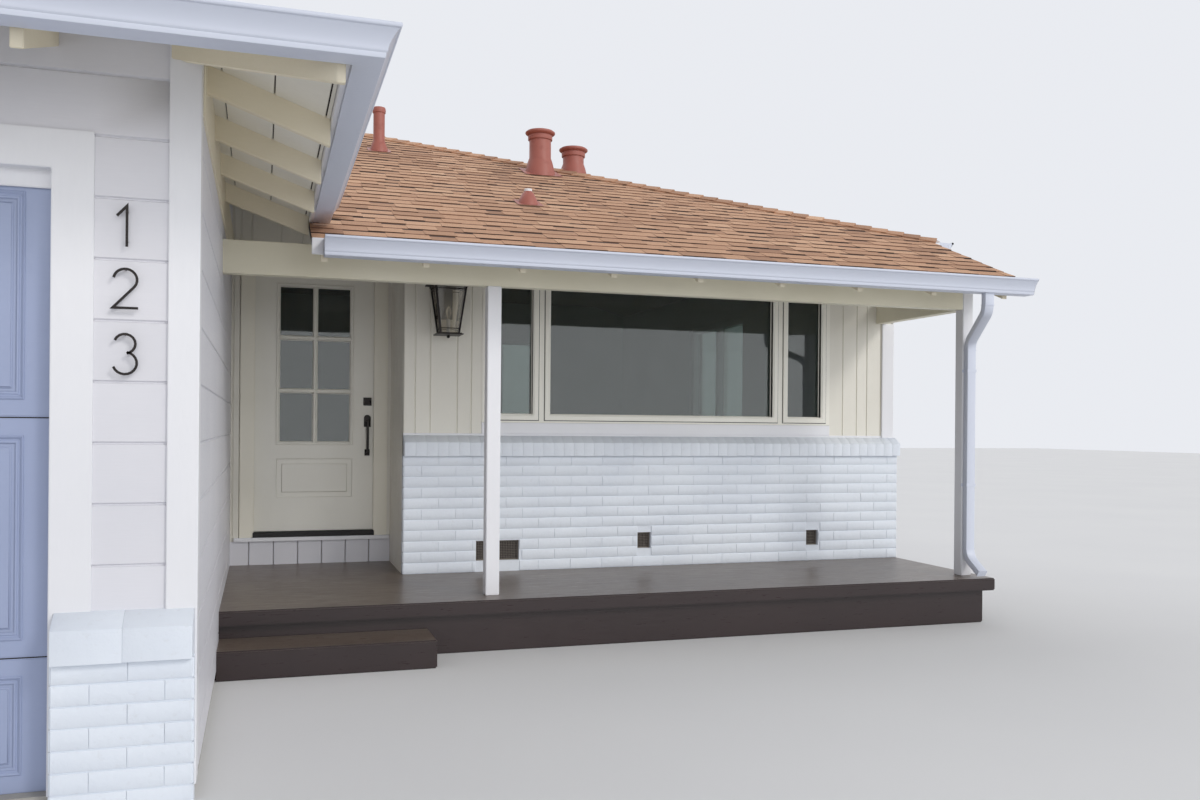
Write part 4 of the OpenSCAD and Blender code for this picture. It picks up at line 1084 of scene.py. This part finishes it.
def window_details():
    """Sashes, beads and the dark seams between the units of the triple window, and the other windows."""
    sash = Piece("window_sashes")
    seam = Piece("window_seams")
    front = to_front(window[0].y)
    for low, high in solids_of("window_glass"):
        span = (low.x, high.x, low.z, high.z)
        ring(sash, front, span, mm((-44, -2), (-44, 7), (-41, 10), (-12, 10), (-6, 4), (0, 2), (0, -30),
                                   (6, -36)))
        ring(seam, front, span, mm((-49.5, 0.6), (-44, 0.6)))
    for low, high in solids_of("other_glass"):
        ring(sash, *on_wall(low, high, 0.015), mm((-30, -2), (-30, 6), (-27, 8), (-8, 8), (0, 2), (0, -30),
                                                  (5, -34)))
    sash.finish("sash_paint")
    seam.finish("dark_rubber")
    casings = Piece("window_casings")
    for low, high in solids_of("other_frames"):
        ring(casings, *on_wall(low, high), mm((-50, 0), (-50, 16), (-46, 20), (0, 20), (0, 12)))
    casings.finish("white_trim")


def garage_details():
    """Triple-stepped mouldings on each panel, and seals between the sections."""
    low, high = box("garage_door")
    front = to_front(low.y)
    mould = Piece("garage_mouldings")
    first_seam, second_seam = box("garage_wainscot")[1].z - 0.168, 1.437
    joints = [low.z, first_seam, second_seam, high.z]
    stile, rail, inset, bays = 0.1, 0.066, 0.016, 6
    width = (high.x - low.x - 2 * stile) / bays
    steps = mm((0, 0), (0, 3), (4, 6), (9, 3), (13, -4), (18, -4), (21, -1), (26, -1), (30, -5))
    for b0, b1 in zip(joints, joints[1:]):
        for k in range(bays):
            a0 = low.x + stile + k * width
            ring(mould, front, (a0 + inset, a0 + width - inset, b0 + rail, b1 - rail), steps)
    mould.finish("garage_panel")
    seals = Piece("garage_seals")
    for b in (first_seam, second_seam):
        panel(seals, front, (low.x + 0.022, high.x - 0.022, b - 0.003, b + 0.003), mm((0, -5), (0.5, -3)))
    seals.finish("dark_rubber")


# Fittings: lantern, digits, roof vents, downspout

def prism(piece, foot, head, half):
    """A slim square bar between two points, half its diagonal given."""
    run = (head - foot).normalized()
    across = (Y if abs(run.y) < 0.9 else X).cross(run).normalized()
    other = run.cross(across)
    angles = [math.pi * (0.25 + 0.5 * k) for k in range(4)]
    piece.solid([[p + (across * math.cos(t) + other * math.sin(t)) * half for t in angles]
                 for p in (foot, head)])


def lantern():
    glass_low, glass_high = box("lantern_glass")
    centre = (glass_low + glass_high) / 2
    middle = Vector((centre.x, centre.y, 0))
    foot_z, top_z, wall_y, high_z = glass_low.z, glass_high.z, box("lantern")[1].y, box("lantern")[1].z
    piece = Piece("lantern_cage")

    def level(half, z):
        return [middle + Vector((sx * half, sy * half, z)) for sx, sy in ((-1, -1), (1, -1), (1, 1), (-1, 1))]

    # Corner bars from the narrow foot to the wide head, slim rails between them, and a rim under the roof
    feet, heads, rim = level(0.066, foot_z), level(0.112, top_z), level(0.115, top_z - 0.01)
    for k in range(4):
        n = (k + 1) % 4
        prism(piece, feet[k], heads[k], 0.0095)
        for t in (0.1, 0.9):
            prism(piece, feet[k].lerp(heads[k], t), feet[n].lerp(heads[n], t), 0.0042)
        prism(piece, rim[k], rim[n], 0.011)
    # Square plates, each with its half width, foot and top
    for half, z0, z1 in ((0.150, top_z, top_z + 0.007), (0.142, top_z + 0.007, top_z + 0.013),
                         (0.128, top_z + 0.013, top_z + 0.02), (0.095, foot_z - 0.010, foot_z - 0.002),
                         (0.084, foot_z - 0.002, foot_z + 0.004)):
        bar(piece, middle + Vector((-half, -half, z0)), middle + Vector((half, half, z1)))
    lathe(piece, middle + Z * (top_z + 0.02), mm((55, 0), (50, 12), (20, 20), (12, 30), (0, 34)))
    lathe(piece, middle + Z * (foot_z - 0.034), mm((0, 0), (9, 4), (13, 13), (8, 20), (20, 25)))
    plate_y = wall_y - 0.012
    bar(piece, (centre.x - 0.06, plate_y, foot_z + 0.12), (centre.x + 0.06, wall_y, high_z))
    bar(piece, (centre.x - 0.05, plate_y - 0.008, foot_z + 0.13), (centre.x + 0.05, plate_y, high_z - 0.01))
    bar(piece, (centre.x - 0.013, centre.y, top_z + 0.016), (centre.x + 0.013, plate_y, top_z + 0.036))
    piece.finish("dark_metal", "lantern")
    candle = Piece("lantern_candle")
    lathe(candle, middle + Z * foot_z, mm((0, 4), (21, 4), (21, 8), (13, 12), (13, 100), (11, 104), (0, 104)))
    candle.finish("white_trim")
    bulb = Piece("lantern_bulb")
    bulb_z = foot_z + 0.104
    lathe(bulb, middle + Z * bulb_z, mm((8, 0), (10, 12), (18, 30), (22, 50), (18, 72), (9, 92), (0, 104)))
    bulb.finish("bulb_glass")


def house_number():
    """Plain digits of dark bar, one under the other, that stand off the siding on pins."""
    face = to_front(FRONT - 0.008)
    stroke = mm((-4.5, 22), (4.5, 22), (4.5, 28), (-4.5, 28))
    # The strokes and the pins of each digit, in millimetres
    digits = (
        ("1", 2.07, [[(-30, 112), (4, 150), (4, 0)]], [(4, 20), (4, 130)]),
        ("2", 1.84, [arc((0, 108), 40, 170, -38) + [(-42, 4), (44, 4)]], [(0, 147), (-30, 6)]),
        ("3", 1.60, [arc((0, 112), 36, 160, -80, 12), arc((0, 41), 41, 80, -160)], [(0, 147), (0, 1)]))
    centre = -0.245
    for name, foot, strokes, pins in digits:
        piece = Piece("digit_" + name)
        for line in strokes:
            sweep(piece, face, [(centre + a, foot + b) for a, b in mm(*line)], stroke)
        for a, b in mm(*pins):
            lathe(piece, face.at(centre + a, foot + b), mm((3.5, 0), (3.5, 23)), 12, -Y)
        piece.finish("dark_metal", angle=40)


def flue(top):
    """The outline of the wide flues: a flared collar, a straight pipe, a bead and a flared rim."""
    return mm((142, 0), (132, 60), (112, 140), (97, 180), (97, top - 86), (108, top - 84), (109, top - 80),
              (109, top - 50), (106, top - 48), (106, top - 42), (116, top - 40), (130, top - 30),
              (134, top - 22), (132, top - 14), (120, top - 10), (118, top - 4), (60, top), (0, top))


def thin_pipe(r, top):
    """The outline of the thin pipe: a cone of flashing, the pipe, and a lip round its open end."""
    return mm((85, 0), (78, 50), (60, 100), (r, 125), (r, top - 50), (r + 6, top - 48), (r + 9, top - 30),
              (r + 6, top - 6), (r + 2, top), (r - 8, top), (r - 10, top - 30), (0, top - 30))


def between(low, value, high):
    return low < value < high


def roof_vents():
    """The vents, turned round the rims of the CAD ones, their radius and height in millimetres."""
    piece = Piece("vent_stacks")
    for low, high in solids_of("roof_vents"):
        near = Vector((0.001, 0.001, 0.001))
        spots = [p for p in points_of("roof_vents") if all(map(between, low - near, p, high + near))]
        foot = min(p.z for p in spots)
        rim = [p for p in spots if p.z > high.z - near.z and low.x < p.x < high.x and low.y < p.y < high.y]
        centre = sum(rim, Vector()) / len(rim)
        r = max((p - centre).length for p in rim) * 1000
        top = (high.z - foot) * 1000
        base = Vector((centre.x, centre.y, foot))
        wide = r > 90
        if wide:
            lathe(piece, base, flue(top), 48)
        elif top > 300:
            lathe(piece, base, thin_pipe(r, top), 48)
        else:
            lathe(piece, base, mm((85, 0), (75, 45), (45, top - 35), (r + 5, top - 28), (r + 3, top - 20)), 48)
            pale = Piece("vent_pipe_end")
            lathe(pale, base, mm((r, top - 40), (r, top - 2), (r - 2, top), (r - 6, top), (r - 7, top - 30),
                                 (0, top - 30)), 32)
            pale.finish("white_trim")
        flashing = Piece("vent_flashing_%d" % round(centre.x * 100))
        face = roof_slope(main_space(), 0)[0]
        a, b = face.ab(Vector((centre.x, centre.y, PORCH_H + MAIN_PITCH * (centre.y - PORCH_Y))))
        reach, over_shingles = 0.17 if wide else 0.1, 0.0095
        within_hip = [main_space(grown=REACH)[2]]
        plate = keep([face.rect(a - reach, a + reach, b - reach, b + reach * 0.9)], within_hip)
        relief(flashing, face, plate, lambda a, b: over_shingles)
        flashing.finish("vent_paint")
    piece.finish("vent_paint", "roof_vents", angle=50)


def rounded(path, radius, steps=6):
    """A path whose inner corners are rounded off with short curves."""
    line = [path[0]]
    for before, bend, after in zip(path, path[1:], path[2:]):
        arms = (before - bend, after - bend)
        start, end = (bend + arm.normalized() * min(radius, arm.length / 2) for arm in arms)
        for k in range(steps + 1):
            t = k / steps
            line.append(start.lerp(bend, t).lerp(bend.lerp(end, t), t))
    return line + [path[-1]]


def tube(piece, line, half_w, half_d):
    """A rectangular pipe with eased corners along a line of points."""
    ease = 0.008
    section = []
    for sx, sy, start in ((1, 1, 0), (-1, 1, 90), (-1, -1, 180), (1, -1, 270)):
        section += arc((sx * (half_w - ease), sy * (half_d - ease)), ease, start, start + 90, 2)
    loops = []
    for before, p, after in zip(line[:1] + line, line, line[1:] + line[-1:]):
        run = (after - before).normalized()
        wide = (X - run * run.x).normalized()
        deep = run.cross(wide)
        loops.append([p + wide * u + deep * v for u, v in section])
    piece.solid(loops)


def downspout():
    low, high = box("downspout")
    half_w, half_d = 0.038, 0.0255
    x, y, z = low.x + half_w, low.y + half_d, high.z + 0.006
    post_x, post_y = high.x - half_w, high.y - half_d
    kick_y = min(p.y for p in points_of("downspout") if p.z < low.z + 0.03) + half_d
    neck_z, elbow_z, kick_z, elbow_r = z - 0.13, z - 0.31, 0.475, 0.07
    path = [Vector((x, y, z)), Vector((x, y, neck_z)), Vector((post_x, post_y, elbow_z)),
            Vector((post_x, post_y, kick_z)), Vector((post_x, kick_y, low.z + half_d))]
    piece = Piece("downspout_pipe")
    tube(piece, rounded(path, elbow_r), half_w - 0.001, half_d - 0.001)
    # Straps, each with two ears on the post, then the seams of the pipe's lengths
    strap_h, ear, t = 0.022, 0.006, 0.001
    back_y = post_y + half_d
    for z in (1.85, 1.0):
        bar(piece, (post_x - half_w - t, post_y - half_d - t, z), (post_x + half_w + t, back_y, z + strap_h))
        for x in (post_x - half_w - ear, post_x + half_w + ear):
            bar(piece, (x - ear, back_y - 3 * t, z), (x + ear, back_y - t / 2, z + strap_h))
    for p, z in ((path[1], path[1].z + 0.04), (path[2], path[2].z - 0.06), (path[3], path[3].z + 0.06)):
        bar(piece, (p.x - half_w - 0.0005, p.y - half_d - 0.0005, z),
            (p.x + half_w + 0.0005, p.y + half_d + 0.0004, z + 0.003))
    piece.finish("white_metal", "downspout", angle=40)


# Stage, light and camera

def stage():
    floor = Finish("floor_pale", 0.8)
    broad = floor.between(floor.noise(0.5, detail=2), 0.3, 0.7, 0, 0.5)
    floor.bump(floor.noise(30, detail=3), 0.05, 0.003)
    mesh = bpy.data.meshes.new("studio_floor")
    mesh.from_pydata([(-60, -60, 0), (60, -60, 0), (60, 60, 0), (-60, 60, 0)], [], [(0, 1, 2, 3)])
    mesh.materials.append(floor.done(floor.mix(broad, rgb(226, 226, 226), rgb(220, 220, 221))))
    ground = bpy.data.objects.new("studio_floor", mesh)
    bpy.context.scene.collection.objects.link(ground)

    # The camera, gloss and glass see a brighter world than the one that lights the house
    world = bpy.data.worlds.new("studio")
    bpy.context.scene.world = world
    world.use_nodes = True
    tree = world.node_tree
    background = tree.nodes["Background"]
    background.inputs[0].default_value = (0.93, 0.95, 1.0, 1)
    rays = tree.nodes.new("ShaderNodeLightPath")
    seen = rays.outputs["Is Camera Ray"]
    for kind in ("Is Glossy Ray", "Is Transmission Ray"):
        total = tree.nodes.new("ShaderNodeMath")
        total.operation, total.use_clamp = "ADD", True
        tree.links.new(seen, total.inputs[0])
        tree.links.new(rays.outputs[kind], total.inputs[1])
        seen = total.outputs[0]
    strength = tree.nodes.new("ShaderNodeMapRange")
    strength.inputs["To Min"].default_value = 0.5
    strength.inputs["To Max"].default_value = 0.88
    tree.links.new(seen, strength.inputs["Value"])
    tree.links.new(strength.outputs[0], background.inputs[1])
    cool = (0.98, 0.99, 1)
    for name, towards, energy, spread, colour in (
            ("key", (-0.55, 0.75, -0.6), 0.9, 14, (1, 0.97, 0.93)),
            ("fill", (-0.16, 1.0, -0.08), 1.25, 60, cool),
            ("side", (-1.0, 0.2, -0.1), 0.5, 60, cool),
            ("back", (0.3, -0.8, -0.9), 0.7, 60, cool)):
        lamp = bpy.data.lights.new(name, "SUN")
        lamp.energy, lamp.angle, lamp.color = energy, math.radians(spread), colour
        sun = bpy.data.objects.new(name, lamp)
        sun.rotation_euler = Vector(towards).to_track_quat("-Z", "Y").to_euler()
        bpy.context.scene.collection.objects.link(sun)


def camera():
    """Stands where the photographer stood, worked out from the walls' vanishing lines."""
    yaw, roll = math.radians(17.9), math.radians(0.48)
    stand = Vector((0.24, -8.535, 1.42))
    focal_px, frame_px = 1045, 1200
    lens = bpy.data.cameras.new("viewpoint")
    lens.sensor_width = 36
    lens.lens = focal_px / frame_px * 36
    lens.shift_y = 0.0225
    holder = bpy.data.objects.new("viewpoint", lens)
    turn = Euler((math.radians(90), 0, -yaw)).to_matrix() @ Matrix.Rotation(roll, 3, "Z")
    holder.matrix_world = Matrix.LocRotScale(stand + ORIGIN, turn, None)
    bpy.context.scene.collection.objects.link(holder)
    bpy.context.scene.camera = holder


for build in (roof_covering, wall_boards, brickwork, vent_grilles, sheathing, gutters, carried_over,
              door_details, window_details, garage_details, lantern, house_number, roof_vents, downspout,
              stage, camera):
    build()
bpy.context.scene.view_settings.view_transform = "Standard"
